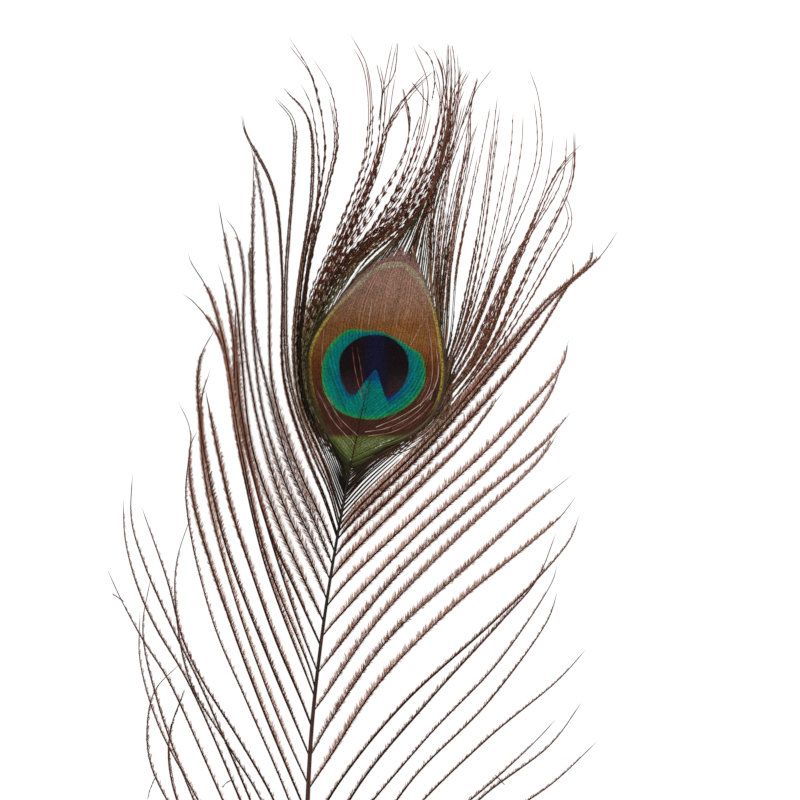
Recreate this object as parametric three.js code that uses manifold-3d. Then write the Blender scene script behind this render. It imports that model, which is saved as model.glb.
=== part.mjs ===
// A peacock eye feather, lying face up: +X to the right, +Y towards the tip, +Z up, millimetres.
// The origin is on the flat underside of the shaft, where the lowest barbs leave it.
// Shaft, eye vane and barbs grow as one piece, so they are joined into one solid.
import * as THREE from 'three';
import { mergeVertices } from 'three/addons/utils/BufferGeometryUtils.js';
import Module from 'manifold-3d';

// ---------------------------------------------------------------- shaft (rachis)

// Centre line of the shaft seen from above, [x, y], from the cut end to its fine tip in the eye.
const SHAFT_LINE = [
  [0, -36], [0, 0], [-0.2, 36], [0, 60], [1.2, 87.5], [3.2, 107.5],
  [6, 127.5], [9.5, 147.5], [12.8, 164], [15.5, 176], [17.2, 181],
];
const SHAFT_WIDTH_CUT = 2.4;        // width at the cut end
const SHAFT_WIDTH_TIP = 0.7;        // width at the fine tip
const SHAFT_TALLNESS = 1.15;        // height over width
const SHAFT_SIDES = 8;
const SHAFT_STEPS = 20;
const CUT_SLANT = 1.2;              // how far the slanting cut runs along the shaft

// ---------------------------------------------------------------- eye vane

const EYE_CENTRE = [17.4, 183.5];
const EYE_HALF_WIDTH = 17;
const EYE_HALF_LENGTH = 24;
const EYE_LEAN = THREE.MathUtils.degToRad(-12.4);   // the oval leans to the right
const EYE_EDGE_HEIGHT = 0.8;        // height of the rim's mid plane
const EYE_CROWN = 0.4;              // how far the middle stands above the rim
const EYE_THICKNESS = 0.9;
const EYE_SPOKES = 24;
const EYE_RINGS = 6;

// ---------------------------------------------------------------- locks of barbs

const LOCK_THICKNESS = 0.8;         // tallest section of a lock
const LOCK_ROOT_SHARE = 0.55;       // width at the root, as a share of the full width
const LOCK_TIP_SHARE = 0.16;        // width at the tip, as a share of the full width
const LOCK_FLARE_END = 0.2;         // share of the length where a lock reaches its full width
const LOCK_TAPER_START = 0.5;       // share of the length where it starts to run out to its tip
const LOCK_STEP = 14;               // length of one facet along a lock
const LOCK_MOST_STEPS = 10;
const LIFT_PER_LENGTH = 0.016;      // how high a lock arches, as a share of its length
const LIFT_LAYERS = [0, 0.7, 0.3, 1.0];   // neighbouring locks lie in layers, a little over each other
const FLOOR_GAP = 0.02;             // clearance of the tips over the resting plane

const SINGLE = 1.5;                 // width of one barb with its barbules
const PAIR = 2.0;                   // width of two or three barbs lying together
const BUNDLE = 2.8;                 // width of a full bundle

// Every lock is [root, width, waypoints], the last waypoint being its tip. A root that is a number
// is a station along the shaft; a root that is a point lies in the eye vane.
const LEFT_LOCKS = [
  // short barbs by the bare quill
  [1, SINGLE, [[-7, 17], [-17, 37], [-23, 50]]],
  [5, SINGLE, [[-8, 24], [-20, 47], [-28, 62]]],
  // long loose barbs of the lower vane
  [9.5, SINGLE, [[-13, 41], [-27.7, 72.5], [-37, 97.5], [-41, 115], [-39, 128.5]]],
  [13, SINGLE, [[-12, 43], [-26.5, 72.5], [-37.2, 92.5], [-41.7, 107.5], [-41.7, 119.5]]],
  [22, SINGLE, [[-10, 48], [-20.7, 72.5], [-34.2, 102.5], [-40.7, 112.5], [-46.2, 122.5], [-49.7, 130]]],
  [30, SINGLE, [[-7, 50], [-16.2, 72.5], [-29.5, 102.5], [-37.7, 116.2], [-42.2, 126.2], [-45.2, 137.5], [-45.7, 147.5]]],
  [37.5, SINGLE, [[-13.7, 72.5], [-26.7, 102.5], [-34, 117.5], [-40.7, 132.5], [-43.7, 142.5], [-43.5, 154]]],
  [45.5, SINGLE, [[-11, 72.5], [-20, 87.5], [-28.7, 102.5], [-32.5, 122.5], [-32.2, 132.5], [-29, 143.2]]],
  [53, SINGLE, [[-8, 72.5], [-16.5, 87.5], [-25.7, 102.5], [-30.5, 112.5], [-34.7, 127.5], [-41.2, 145.5]]],
  [61, SINGLE, [[-6.2, 77.5], [-14.7, 97.5], [-23, 117.5], [-30, 147.5], [-29.2, 165], [-32.2, 172]]],
  [68.7, SINGLE, [[-5.5, 82.5], [-11.5, 97.5], [-19, 117.5], [-28.2, 147.5], [-28.7, 161.2], [-27.2, 164.5]]],
  [76.2, SINGLE, [[-4.5, 87.5], [-10.5, 102.5], [-17.5, 122.5], [-25, 152.5], [-26, 172.5], [-24, 180.2]]],
  [83.2, SINGLE, [[-3, 92.5], [-9.2, 107.5], [-20.5, 137.5], [-26.5, 167.5], [-26.6, 182.5], [-22.7, 190.5]]],
  // crossing strays at the lower left
  [16, SINGLE, [[-14, 45], [-30, 68], [-34.2, 82.5], [-33.5, 92], [-30.5, 100]]],
  [18, SINGLE, [[-15, 46], [-33, 70], [-39, 82], [-39.7, 92], [-37.7, 100], [-31.5, 106.5]]],
  // middle vane, left of the eye
  [90.7, SINGLE, [[-1.2, 97.5], [-7.5, 112.5], [-17.7, 142.5], [-21.5, 157.5], [-25, 175]]],
  [98.2, SINGLE, [[0.5, 102.5], [-10.5, 132.5], [-17.2, 162.5], [-21.5, 187.5], [-28.5, 197.5], [-31, 199.2]]],
  [100, SINGLE, [[1, 105], [-9.7, 133], [-16.5, 162.5], [-20.7, 187.5], [-24.7, 200], [-29, 207], [-29.7, 209.2]]],
  [104.5, PAIR, [[-2.2, 117.5], [-10.2, 142.5], [-17.5, 172.5], [-18.2, 187.5], [-20.7, 202.5], [-22, 207]]],
  [111, PAIR, [[-1.5, 122.5], [-10, 142.5], [-16, 168], [-17.4, 186], [-17.6, 196]]],
  [117, PAIR, [[-0.5, 127.5], [-7.2, 142.5], [-13.2, 160], [-16, 184], [-17.2, 195], [-21, 215.5], [-22, 221.7]]],
  [122.5, PAIR, [[1, 132.5], [-6, 147.5], [-12, 167.5], [-15.5, 190], [-15.5, 205], [-17.5, 214.5], [-20, 218]]],
  [127.5, PAIR, [[1.5, 137.5], [-5.5, 152.5], [-10.7, 169], [-13, 185], [-13.7, 200], [-14.2, 212]]],
  [131.2, PAIR, [[2, 142.5], [-4.5, 157.5], [-9.7, 176], [-12.5, 190], [-13.2, 207], [-13.2, 232.5]]],
  [134.5, PAIR, [[4, 142.5], [-2.7, 157.5], [-8.4, 176], [-9.2, 202.5], [-11, 222.5], [-13.7, 235.5]]],
  [138, PAIR, [[4.5, 147.5], [-0.5, 160], [-5.5, 177.5], [-6, 205], [-8.5, 225], [-15.5, 239.5], [-16.2, 243.7]]],
  [141.2, PAIR, [[6, 150], [1.2, 161], [-4, 177.5], [-5.2, 200], [-3, 232.5], [-3.2, 242.5], [-7.7, 248]]],
  // tall dark bundles that hug the left rim of the eye and run up beside it
  [144, PAIR, [[4.5, 157], [-1.5, 172], [-2.9, 186.2], [-1.5, 202.5], [1.7, 225], [0.7, 243], [-5.5, 250.7]]],
  [146.5, BUNDLE, [[5, 158], [-0.8, 172], [-2.2, 186.2], [-0.7, 205], [3.5, 225], [4.7, 237], [1.5, 253.2], [-4.5, 263.5]]],
  [148.5, PAIR, [[5.8, 158.5], [0, 172], [-1.4, 186.2], [0.2, 203], [5.2, 225], [7.5, 237], [5.5, 250], [1, 257.5]]],
  [150, SINGLE, [[6.2, 160], [0.6, 172], [-1, 186], [0.5, 205], [3.5, 228], [1.5, 246.7], [-1, 252]]],
  // barbs that bend over the top of the eye and rise through the crown
  [151.5, PAIR, [[7, 161], [1, 172], [-0.6, 184], [1.5, 197.5], [9.2, 216.2], [15.7, 235], [15.2, 255.5], [11, 263.7]]],
  [152.5, SINGLE, [[7.5, 161.5], [1.4, 173], [0, 185], [2.5, 198], [10.5, 216.5], [17.7, 233.7], [19, 248.7], [17.7, 256.5]]],
  [153.5, SINGLE, [[8, 162], [1.8, 173], [0.3, 185], [3, 198], [11.5, 216.5], [18, 232], [20.5, 251], [22.7, 262]]],
  [154.5, SINGLE, [[8.4, 162.5], [2.2, 173.5], [0.8, 185], [3.5, 198], [13, 217], [21, 241], [27.2, 250.5], [31, 254.7]]],
  [155.5, BUNDLE, [[8.7, 163], [2.6, 174], [1.2, 185.5], [5, 201], [14, 215.5], [24, 232.5], [25.7, 240], [24.2, 250.5]]],
  [156.5, BUNDLE, [[9.2, 163.5], [3, 174], [1.8, 186], [7.5, 203], [19, 216], [28, 233], [31.2, 251.2], [27.7, 261.5]]],
  [157.5, BUNDLE, [[9.6, 164], [3.6, 174.5], [2.6, 186], [10, 205], [22, 217], [31, 234], [33.7, 250], [32.2, 258]]],
  [158.5, BUNDLE, [[10, 164.5], [4.2, 175], [3.6, 187], [12.5, 206], [25, 218], [34, 234], [38, 249], [41, 255]]],
];

const RIGHT_LOCKS = [
  // short barbs by the bare quill
  [0, SINGLE, [[8, 15], [20, 32], [29, 43]]],
  [5, SINGLE, [[9, 22], [26, 43], [41, 57]]],
  // long loose barbs of the lower vane
  [11, SINGLE, [[11, 30], [28.7, 51.2], [46.5, 66.5], [62.2, 77], [73, 87]]],
  [18.7, SINGLE, [[11, 36], [27, 56], [43.5, 73.2], [61, 86.2], [69, 96.7]]],
  [22, SINGLE, [[12, 43], [30, 63], [47.7, 78], [58.5, 88.2], [62.5, 92.5]]],
  [26.2, SINGLE, [[10.5, 45], [20.5, 62.5], [44.5, 87.5], [63, 102.5], [70, 110]]],
  [35, SINGLE, [[8.5, 50], [26.2, 77.5], [45.7, 97.5], [60.7, 117.5], [63, 124.5]]],
  [43.7, SINGLE, [[7.2, 60], [29.5, 87.5], [48.2, 107.5], [61.7, 127.5], [62.7, 131.2]]],
  [52.5, SINGLE, [[14, 77.5], [30.7, 97.5], [49.2, 117.5], [57.7, 127.5], [62.5, 139.2]]],
  [63, PAIR, [[8.7, 77.5], [25, 97.5], [47, 117.5], [57.7, 127.5], [66.2, 137.5], [68.5, 143.7]]],
  [75, SINGLE, [[5.5, 82.5], [18.7, 102.5], [38.5, 122.5], [63, 142.5], [67.7, 148.2]]],
  [83.2, SINGLE, [[6.2, 92.5], [20.2, 112.5], [42.2, 132.5], [58.7, 147.5], [66.5, 153.7]]],
  [94.5, SINGLE, [[4, 97.5], [18, 117.5], [37.5, 137.5], [58.2, 157.5], [63, 164.5]]],
  [104, SINGLE, [[5.5, 107.5], [21.7, 127.5], [43.2, 147.5], [60.2, 162.5], [66.2, 169.7]]],
  [113.2, SINGLE, [[7.5, 117.5], [26.2, 137.5], [47.7, 157.5], [60.5, 172.5], [64, 181]]],
  [120.7, SINGLE, [[10.7, 127.5], [31.5, 147.5], [47.7, 162.5], [64, 181.5], [65.5, 187.5]]],
  [127.5, SINGLE, [[10, 132.5], [30, 152.5], [40.2, 162.5], [49.5, 174.5]]],
  // middle vane, right of the eye
  [133, PAIR, [[10.5, 137.5], [36, 162.5], [53.5, 182.5], [63.2, 197.5], [66.7, 203.7], [66.5, 208]]],
  [137.5, PAIR, [[12, 142.5], [32.2, 162.5], [49.2, 182.5], [61.7, 197.5], [73.5, 208.2], [78, 214.5]]],
  [139.5, SINGLE, [[13, 145.5], [30.5, 162.5], [47.7, 182.5], [59.7, 196.7], [71.5, 207.5], [71.7, 212]]],
  [141.2, PAIR, [[13.7, 147.5], [29, 162.5], [46, 182.5], [61.2, 207.5], [66.2, 217.5], [64.5, 224.5]]],
  [144.5, PAIR, [[16.5, 152.5], [27.2, 162.5], [44.2, 182.5], [57.2, 207.5], [66.5, 227], [67.2, 239.7]]],
  [147, PAIR, [[14.2, 152.5], [25.5, 162.5], [42.5, 182.5], [53, 207.5], [63.5, 230], [69.5, 236.5]]],
  [149, SINGLE, [[15, 154.5], [24.7, 162.5], [41.5, 182.5], [52.2, 207.5], [63.5, 227.5], [65, 238.7]]],
  [150.5, BUNDLE, [[16, 156.5], [25.5, 163], [39.7, 182.5], [47, 197.5], [59.7, 226.2], [61.7, 238.7]]],
  [152.5, BUNDLE, [[17, 158], [25.5, 164], [38.5, 182.5], [48.7, 207.5], [58, 232.5], [57.5, 248], [55.2, 255]]],
  [154, BUNDLE, [[17.5, 159.5], [26, 165], [37.2, 182.5], [47.7, 207.5], [54, 235], [54.5, 243.7]]],
  // fine barbs that rise right of the crown
  [155.5, PAIR, [[18, 160.5], [26, 165.7], [36.5, 182.5], [45, 207.5], [50.5, 235], [51.2, 245]]],
  [156.5, PAIR, [[18.2, 161.5], [26, 166.5], [36, 182.5], [43, 207.5], [47.5, 235], [49.5, 246.2]]],
  [157.5, PAIR, [[18.5, 162.5], [26.2, 167.5], [35.5, 182.5], [42, 207.5], [45.5, 227.5], [48, 248.7]]],
  [158.5, PAIR, [[18.7, 163.2], [26.5, 168.5], [34.7, 182.5], [38, 207.5], [44, 237.5], [45.7, 246.2]]],
  [160, PAIR, [[19, 164], [27, 169.5], [34, 182.5], [36.2, 207.5], [40.5, 240], [43, 253.5]]],
  [[33, 190], SINGLE, [[35, 207], [41, 235], [42.5, 248.7], [47.7, 255.7]]],
  [[32, 190], PAIR, [[33, 207.5], [35.5, 227.5], [37, 245], [38.2, 252]]],
  [[30.5, 191], PAIR, [[31.5, 207.5], [31.2, 220], [34.2, 245], [35.2, 262]]],
  [[26, 198], BUNDLE, [[27, 212], [33, 227.5], [36.7, 245], [36.5, 261.2]]],
];

// ---------------------------------------------------------------- shaping

const UP = new THREE.Vector3(0, 0, 1);
const ramp = (from, to, at) => THREE.MathUtils.smoothstep(at, from, to);
const mix = THREE.MathUtils.lerp;

// Lays a unit cylinder along a curve: its axis follows the curve, its x and z become half widths
// and half heights of the section there.
function layAlong(curve, sides, steps, halfWidth, halfHeight, firstAngle = 0) {
  const rod = new THREE.CylinderGeometry(1, 1, 1, sides, steps, false, firstAngle);
  const place = rod.attributes.position;
  for (let i = 0; i < place.count; i++) {
    const along = THREE.MathUtils.clamp(place.getY(i) + 0.5, 0, 1);
    const centre = curve.getPointAt(along);
    const side = curve.getTangentAt(along).cross(UP).normalize();
    centre.addScaledVector(side, place.getX(i) * halfWidth(along));
    centre.z += place.getZ(i) * halfHeight(along);
    place.setXYZ(i, centre.x, centre.y, centre.z);
  }
  return rod;
}

const shaftPlan = new THREE.CatmullRomCurve3(SHAFT_LINE.map(([x, y]) => new THREE.Vector3(x, y, 0)));
const cutEnd = SHAFT_LINE[0][1];
const shaftEnd = SHAFT_LINE[SHAFT_LINE.length - 1][1];
const flatShare = Math.cos(Math.PI / SHAFT_SIDES);   // centre to flat, over centre to corner

const shaftWidthAt = (y) =>
  mix(SHAFT_WIDTH_CUT, SHAFT_WIDTH_TIP, ramp(cutEnd - 60, shaftEnd, y));
const shaftHeightAt = (y) => shaftWidthAt(y) * SHAFT_TALLNESS;

// The point of the shaft's centre line at a station y, found by halving.
function shaftPointAt(y) {
  let low = 0;
  let high = 1;
  for (let i = 0; i < 30; i++) {
    const middle = (low + high) / 2;
    if (shaftPlan.getPointAt(middle).y < y) low = middle;
    else high = middle;
  }
  return shaftPlan.getPointAt(low);
}

function makeShaft() {
  const centreHeight = (y) => (shaftHeightAt(y) / 2) * flatShare;
  const line = shaftPlan.getSpacedPoints(SHAFT_STEPS).map((p) => p.setZ(centreHeight(p.y)));
  const curve = new THREE.CatmullRomCurve3(line);
  const widthAt = (t) => shaftWidthAt(curve.getPointAt(t).y) / 2;
  const rod = layAlong(curve, SHAFT_SIDES, SHAFT_STEPS, widthAt,
    (t) => widthAt(t) * SHAFT_TALLNESS, Math.PI / SHAFT_SIDES);
  const place = rod.attributes.position;
  for (let i = 0; i < place.count; i++) {
    const depth = place.getZ(i) / shaftHeightAt(cutEnd);
    if (place.getY(i) < cutEnd + 0.01) place.setY(i, cutEnd + CUT_SLANT * depth);
    if (place.getZ(i) < FLOOR_GAP / 2) place.setZ(i, 0);
  }
  return rod;
}

// The vane is a lens: a sphere flattened into an oval, its middle raised above its rim.
function makeEye() {
  const lens = new THREE.SphereGeometry(1, EYE_SPOKES, EYE_RINGS).rotateX(Math.PI / 2);
  const place = lens.attributes.position;
  for (let i = 0; i < place.count; i++) {
    const across = place.getX(i);
    const along = place.getY(i);
    const crown = EYE_CROWN * (1 - across * across - along * along);
    place.setXYZ(i, across * EYE_HALF_WIDTH, along * EYE_HALF_LENGTH,
      EYE_EDGE_HEIGHT + crown + (place.getZ(i) * EYE_THICKNESS) / 2);
  }
  return lens.rotateZ(EYE_LEAN).translate(EYE_CENTRE[0], EYE_CENTRE[1], 0);
}

const lockShare = (t) =>
  mix(LOCK_ROOT_SHARE, 1, ramp(0, LOCK_FLARE_END, t)) * mix(1, LOCK_TIP_SHARE, ramp(LOCK_TAPER_START, 1, t));

function makeLock([root, width, waypoints], index) {
  const grownFromShaft = typeof root === 'number';
  const start = grownFromShaft ? shaftPointAt(root) : new THREE.Vector3(root[0], root[1], 0);
  const startHeight = grownFromShaft ? shaftHeightAt(root) * 0.5 : EYE_EDGE_HEIGHT;
  const plan = [start, ...waypoints.map(([x, y]) => new THREE.Vector3(x, y, 0))];
  const planCurve = new THREE.CatmullRomCurve3(plan);
  const length = planCurve.getLength();
  const steps = Math.min(LOCK_MOST_STEPS, Math.ceil(length / LOCK_STEP));
  const tipHeight = (LOCK_THICKNESS / 2) * LOCK_TIP_SHARE + FLOOR_GAP;
  const lift = length * LIFT_PER_LENGTH + LIFT_LAYERS[index % LIFT_LAYERS.length];
  const line = planCurve.getSpacedPoints(2 * steps).map((point, i) => {
    const t = i / (2 * steps);
    return point.setZ(mix(startHeight, tipHeight, t) + lift * Math.sin(Math.PI * t));
  });
  const share = (t) => lockShare(t) / 2;
  return layAlong(new THREE.CatmullRomCurve3(line), 4, steps,
    (t) => width * share(t), (t) => LOCK_THICKNESS * share(t));
}

// ---------------------------------------------------------------- joining

const wasm = await Module();
wasm.setup();

function toSolid(geometry) {
  geometry.deleteAttribute('normal');
  geometry.deleteAttribute('uv');
  const merged = mergeVertices(geometry, 1e-4);
  return new wasm.Manifold(new wasm.Mesh({
    numProp: 3,
    vertProperties: new Float32Array(merged.attributes.position.array),
    triVerts: new Uint32Array(merged.index.array),
  }));
}

// Keeps the outer skin of a solid: small voids closed in between crossing locks are filled.
function outerSkin(solid) {
  return solid.decompose().reduce((best, piece) => (piece.volume() > best.volume() ? piece : best));
}

function toGeometry(solid) {
  const { vertProperties, triVerts } = solid.getMesh();
  const geometry = new THREE.BufferGeometry();
  geometry.setAttribute('position', new THREE.BufferAttribute(vertProperties, 3));
  geometry.setIndex(new THREE.BufferAttribute(triVerts, 1));
  return geometry;
}

const grown = [makeShaft(), makeEye(), ...LEFT_LOCKS.map(makeLock), ...RIGHT_LOCKS.map(makeLock)]
  .map(toSolid)
  .reduce((whole, piece) => whole.add(piece));

const feather = new THREE.Mesh(
  toGeometry(outerSkin(grown)),
  new THREE.MeshStandardMaterial({ color: 0x4a3023, roughness: 0.7, metalness: 0 }),
);
feather.name = 'feather';

const part = new THREE.Group();
part.add(feather);

export default part;
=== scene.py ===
"""A peacock eye feather lying face up on a plain pale floor, in soft studio light.

Sizes in this file are millimetres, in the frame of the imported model: +Y along the shaft towards the
feather's tip, +Z up out of the face that carries the eye, origin on the flat underside of the shaft.
Meshes are written in metres. Every barb is a real strand with its barbules, worked out as arrays.
"""

import logging
import math
from collections.abc import Sequence
from dataclasses import dataclass, field
from enum import Enum
from functools import reduce
from typing import ClassVar

import bpy
import numpy as np
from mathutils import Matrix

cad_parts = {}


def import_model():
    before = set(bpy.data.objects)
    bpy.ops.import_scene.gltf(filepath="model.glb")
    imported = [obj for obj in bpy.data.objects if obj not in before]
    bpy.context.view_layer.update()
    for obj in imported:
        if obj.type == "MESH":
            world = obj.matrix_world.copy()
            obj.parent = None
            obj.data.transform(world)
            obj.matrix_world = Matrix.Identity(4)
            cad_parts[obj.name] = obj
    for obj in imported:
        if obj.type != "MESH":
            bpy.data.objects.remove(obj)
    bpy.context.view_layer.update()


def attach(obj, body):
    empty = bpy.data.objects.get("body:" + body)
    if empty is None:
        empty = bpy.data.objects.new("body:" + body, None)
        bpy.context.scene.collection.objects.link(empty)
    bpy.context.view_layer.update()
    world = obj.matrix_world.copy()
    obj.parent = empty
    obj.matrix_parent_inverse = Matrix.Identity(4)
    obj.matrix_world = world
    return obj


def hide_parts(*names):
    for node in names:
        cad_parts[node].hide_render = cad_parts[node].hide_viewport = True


log = logging.getLogger("feather")

MM = 0.001
UP = np.array([0.0, 0.0, 1.0])
Point = tuple[float, float]
Random = np.random.Generator
Socket = bpy.types.NodeSocket
Stretch = tuple[float, float]       # a range, mostly of shares of a barb's length

# ---------------------------------------------------------------- the frame's driving sizes

SHAFT_LINE: list[Point] = [
    (0, -36), (0, 0), (-0.2, 36), (0, 60), (1.2, 87.5), (3.2, 107.5),
    (6, 127.5), (9.5, 147.5), (12.8, 164), (15.5, 176), (17.2, 181),
]
EYE_CENTRE = (17.4, 183.5)
EYE_HALF_WIDTH = 17.0
EYE_HALF_LENGTH = 24.0
EYE_LEAN = math.radians(12.4)
EYE_EDGE_HEIGHT = 0.8               # height of the vane's face at its rim
EYE_CROWN = 0.4                     # how far its middle stands above the rim
EYE_SKIRT = 0.5                     # how far the crown's fall goes on past the rim, as a share of it
DISC_CENTRE = (17.0, 178.5)
HEART_CENTRE = (17.4, 182.0)
LIFT_PER_LENGTH = 0.016             # arch of a barb over its length
LIFT_LAYERS = (0.0, 0.7, 0.3, 1.0)  # what neighbouring barbs add to it in turn
TIP_HEIGHT = 0.08
LOWEST = 0.06                       # strands keep between these two heights
HIGHEST = 3.6
FLOOR_GAP = 0.01                    # no corner of a barb lies lower
BARBULE_ROOM = 0.15                 # how far barbules may stand above the highest strand
TUFT_LENGTH = 2.4
DISTAL, PROXIMAL = 1, -1            # the edges of a barb: towards the feather's tip, and away from it
CORNERS = 4                         # corners of a rod's section
STEPS_PER_POINT = 40                # how finely a curve is worked out, for each of its points

# Centre lines of the barbs that lead their neighbours: (root, points to the tip). A root that is a
# number is a station along the shaft, and a root that is a point lies in the eye.
Lead = tuple[float | Point, list[Point]]

LEFT_LEADS: list[Lead] = [
    (1, [(-7, 17), (-17, 37), (-23, 50)]),
    (5, [(-8, 24), (-20, 47), (-28, 62)]),
    (9.5, [(-13, 41), (-27.7, 72.5), (-37, 97.5), (-41, 115), (-39, 128.5)]),
    (13, [(-12, 43), (-26.5, 72.5), (-37.2, 92.5), (-41.7, 107.5), (-41.7, 119.5)]),
    (22, [(-10, 48), (-20.7, 72.5), (-34.2, 102.5), (-40.7, 112.5), (-46.2, 122.5), (-49.7, 130)]),
    (30, [(-7, 50), (-16.2, 72.5), (-29.5, 102.5), (-37.7, 116.2), (-42.2, 126.2), (-45.2, 137.5),
          (-45.7, 147.5)]),
    (37.5, [(-13.7, 72.5), (-26.7, 102.5), (-34, 117.5), (-40.7, 132.5), (-43.7, 142.5), (-43.5, 154)]),
    (45.5, [(-11, 72.5), (-20, 87.5), (-28.7, 102.5), (-32.5, 122.5), (-32.2, 132.5), (-29, 143.2)]),
    (53, [(-8, 72.5), (-16.5, 87.5), (-25.7, 102.5), (-30.5, 112.5), (-34.7, 127.5), (-41.2, 145.5)]),
    (61, [(-6.2, 77.5), (-14.7, 97.5), (-23, 117.5), (-30, 147.5), (-29.2, 165), (-32.2, 172)]),
    (68.7, [(-5.5, 82.5), (-11.5, 97.5), (-19, 117.5), (-28.2, 147.5), (-28.7, 161.2), (-27.2, 164.5)]),
    (76.2, [(-4.5, 87.5), (-10.5, 102.5), (-17.5, 122.5), (-25, 152.5), (-26, 172.5), (-24, 180.2)]),
    (83.2, [(-3, 92.5), (-9.2, 107.5), (-20.5, 137.5), (-26.5, 167.5), (-26.6, 182.5), (-22.7, 190.5)]),
    (16, [(-14, 45), (-30, 68), (-34.2, 82.5), (-33.5, 92), (-30.5, 100)]),
    (18, [(-15, 46), (-33, 70), (-39, 82), (-39.7, 92), (-37.7, 100), (-31.5, 106.5)]),
    (90.7, [(-1.2, 97.5), (-7.5, 112.5), (-17.7, 142.5), (-21.5, 157.5), (-25, 175)]),
    (98.2, [(0.5, 102.5), (-10.5, 132.5), (-17.2, 162.5), (-21.5, 187.5), (-28.5, 197.5),
            (-31, 199.2)]),
    (100, [(1, 105), (-9.7, 133), (-16.5, 162.5), (-20.7, 187.5), (-24.7, 200), (-29, 207),
           (-29.7, 209.2)]),
    (104.5, [(-2.2, 117.5), (-10.2, 142.5), (-17.5, 172.5), (-18.2, 187.5), (-20.7, 202.5),
             (-22, 207)]),
    (111, [(-1.5, 122.5), (-10, 142.5), (-16, 168), (-17.4, 186), (-17.6, 196)]),
    (117, [(-0.5, 127.5), (-7.2, 142.5), (-13.2, 160), (-16, 184), (-17.2, 195), (-21, 215.5),
           (-22, 221.7)]),
    (122.5, [(1, 132.5), (-6, 147.5), (-12, 167.5), (-15.5, 190), (-15.5, 205), (-17.5, 214.5),
             (-20, 218)]),
    (127.5, [(1.5, 137.5), (-5.5, 152.5), (-10.7, 169), (-13, 185), (-13.7, 200), (-14.2, 212)]),
    (131.2, [(2, 142.5), (-4.5, 157.5), (-9.7, 176), (-12.5, 190), (-13.2, 207), (-13.2, 232.5)]),
    (134.5, [(4, 142.5), (-2.7, 157.5), (-8.4, 176), (-9.2, 202.5), (-11, 222.5), (-13.7, 235.5)]),
    (138, [(4.5, 147.5), (-0.5, 160), (-5.5, 177.5), (-6, 205), (-8.5, 225), (-15.5, 239.5),
           (-16.2, 243.7)]),
    (141.2, [(6, 150), (1.2, 161), (-4, 177.5), (-5.2, 200), (-3, 232.5), (-3.2, 242.5), (-7.7, 248)]),
    (144, [(4.5, 157), (-1.5, 172), (-2.9, 186.2), (-1.5, 202.5), (1.7, 225), (0.7, 243),
           (-5.5, 250.7)]),
    (146.5, [(5, 158), (-0.8, 172), (-2.2, 186.2), (-0.7, 205), (3.5, 225), (4.7, 237), (1.5, 253.2),
             (-4.5, 263.5)]),
    (148.5, [(5.8, 158.5), (0, 172), (-1.4, 186.2), (0.2, 203), (5.2, 225), (7.5, 237), (5.5, 250),
             (1, 257.5)]),
    (150, [(6.2, 160), (0.6, 172), (-1, 186), (0.5, 205), (3.5, 228), (1.5, 246.7), (-1, 252)]),
    (151.5, [(7, 161), (1, 172), (-0.6, 184), (1.5, 197.5), (9.2, 216.2), (15.7, 235), (15.2, 255.5),
             (11, 263.7)]),
    (152.5, [(7.5, 161.5), (1.4, 173), (0, 185), (2.5, 198), (10.5, 216.5), (17.7, 233.7), (19, 248.7),
             (17.7, 256.5)]),
    (153.5, [(8, 162), (1.8, 173), (0.3, 185), (3, 198), (11.5, 216.5), (18, 232), (20.5, 251),
             (22.7, 262)]),
    (154.5, [(8.4, 162.5), (2.2, 173.5), (0.8, 185), (3.5, 198), (13, 217), (21, 241), (27.2, 250.5),
             (31, 254.7)]),
    (155.5, [(8.7, 163), (2.6, 174), (1.2, 185.5), (5, 201), (14, 215.5), (24, 232.5), (25.7, 240),
             (24.2, 250.5)]),
    (156.5, [(9.2, 163.5), (3, 174), (1.8, 186), (8.1, 202.5), (19, 216), (28, 233), (31.2, 251.2),
             (27.7, 261.5)]),
    (157.5, [(9.6, 164), (3.6, 174.5), (2.6, 186), (10, 205), (22, 217), (31, 234), (33.7, 250),
             (32.2, 258)]),
    (158.5, [(10, 164.5), (4.2, 175), (3.6, 187), (12.5, 206), (25, 218), (34, 234), (38, 249),
             (41, 255)]),
]

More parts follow.
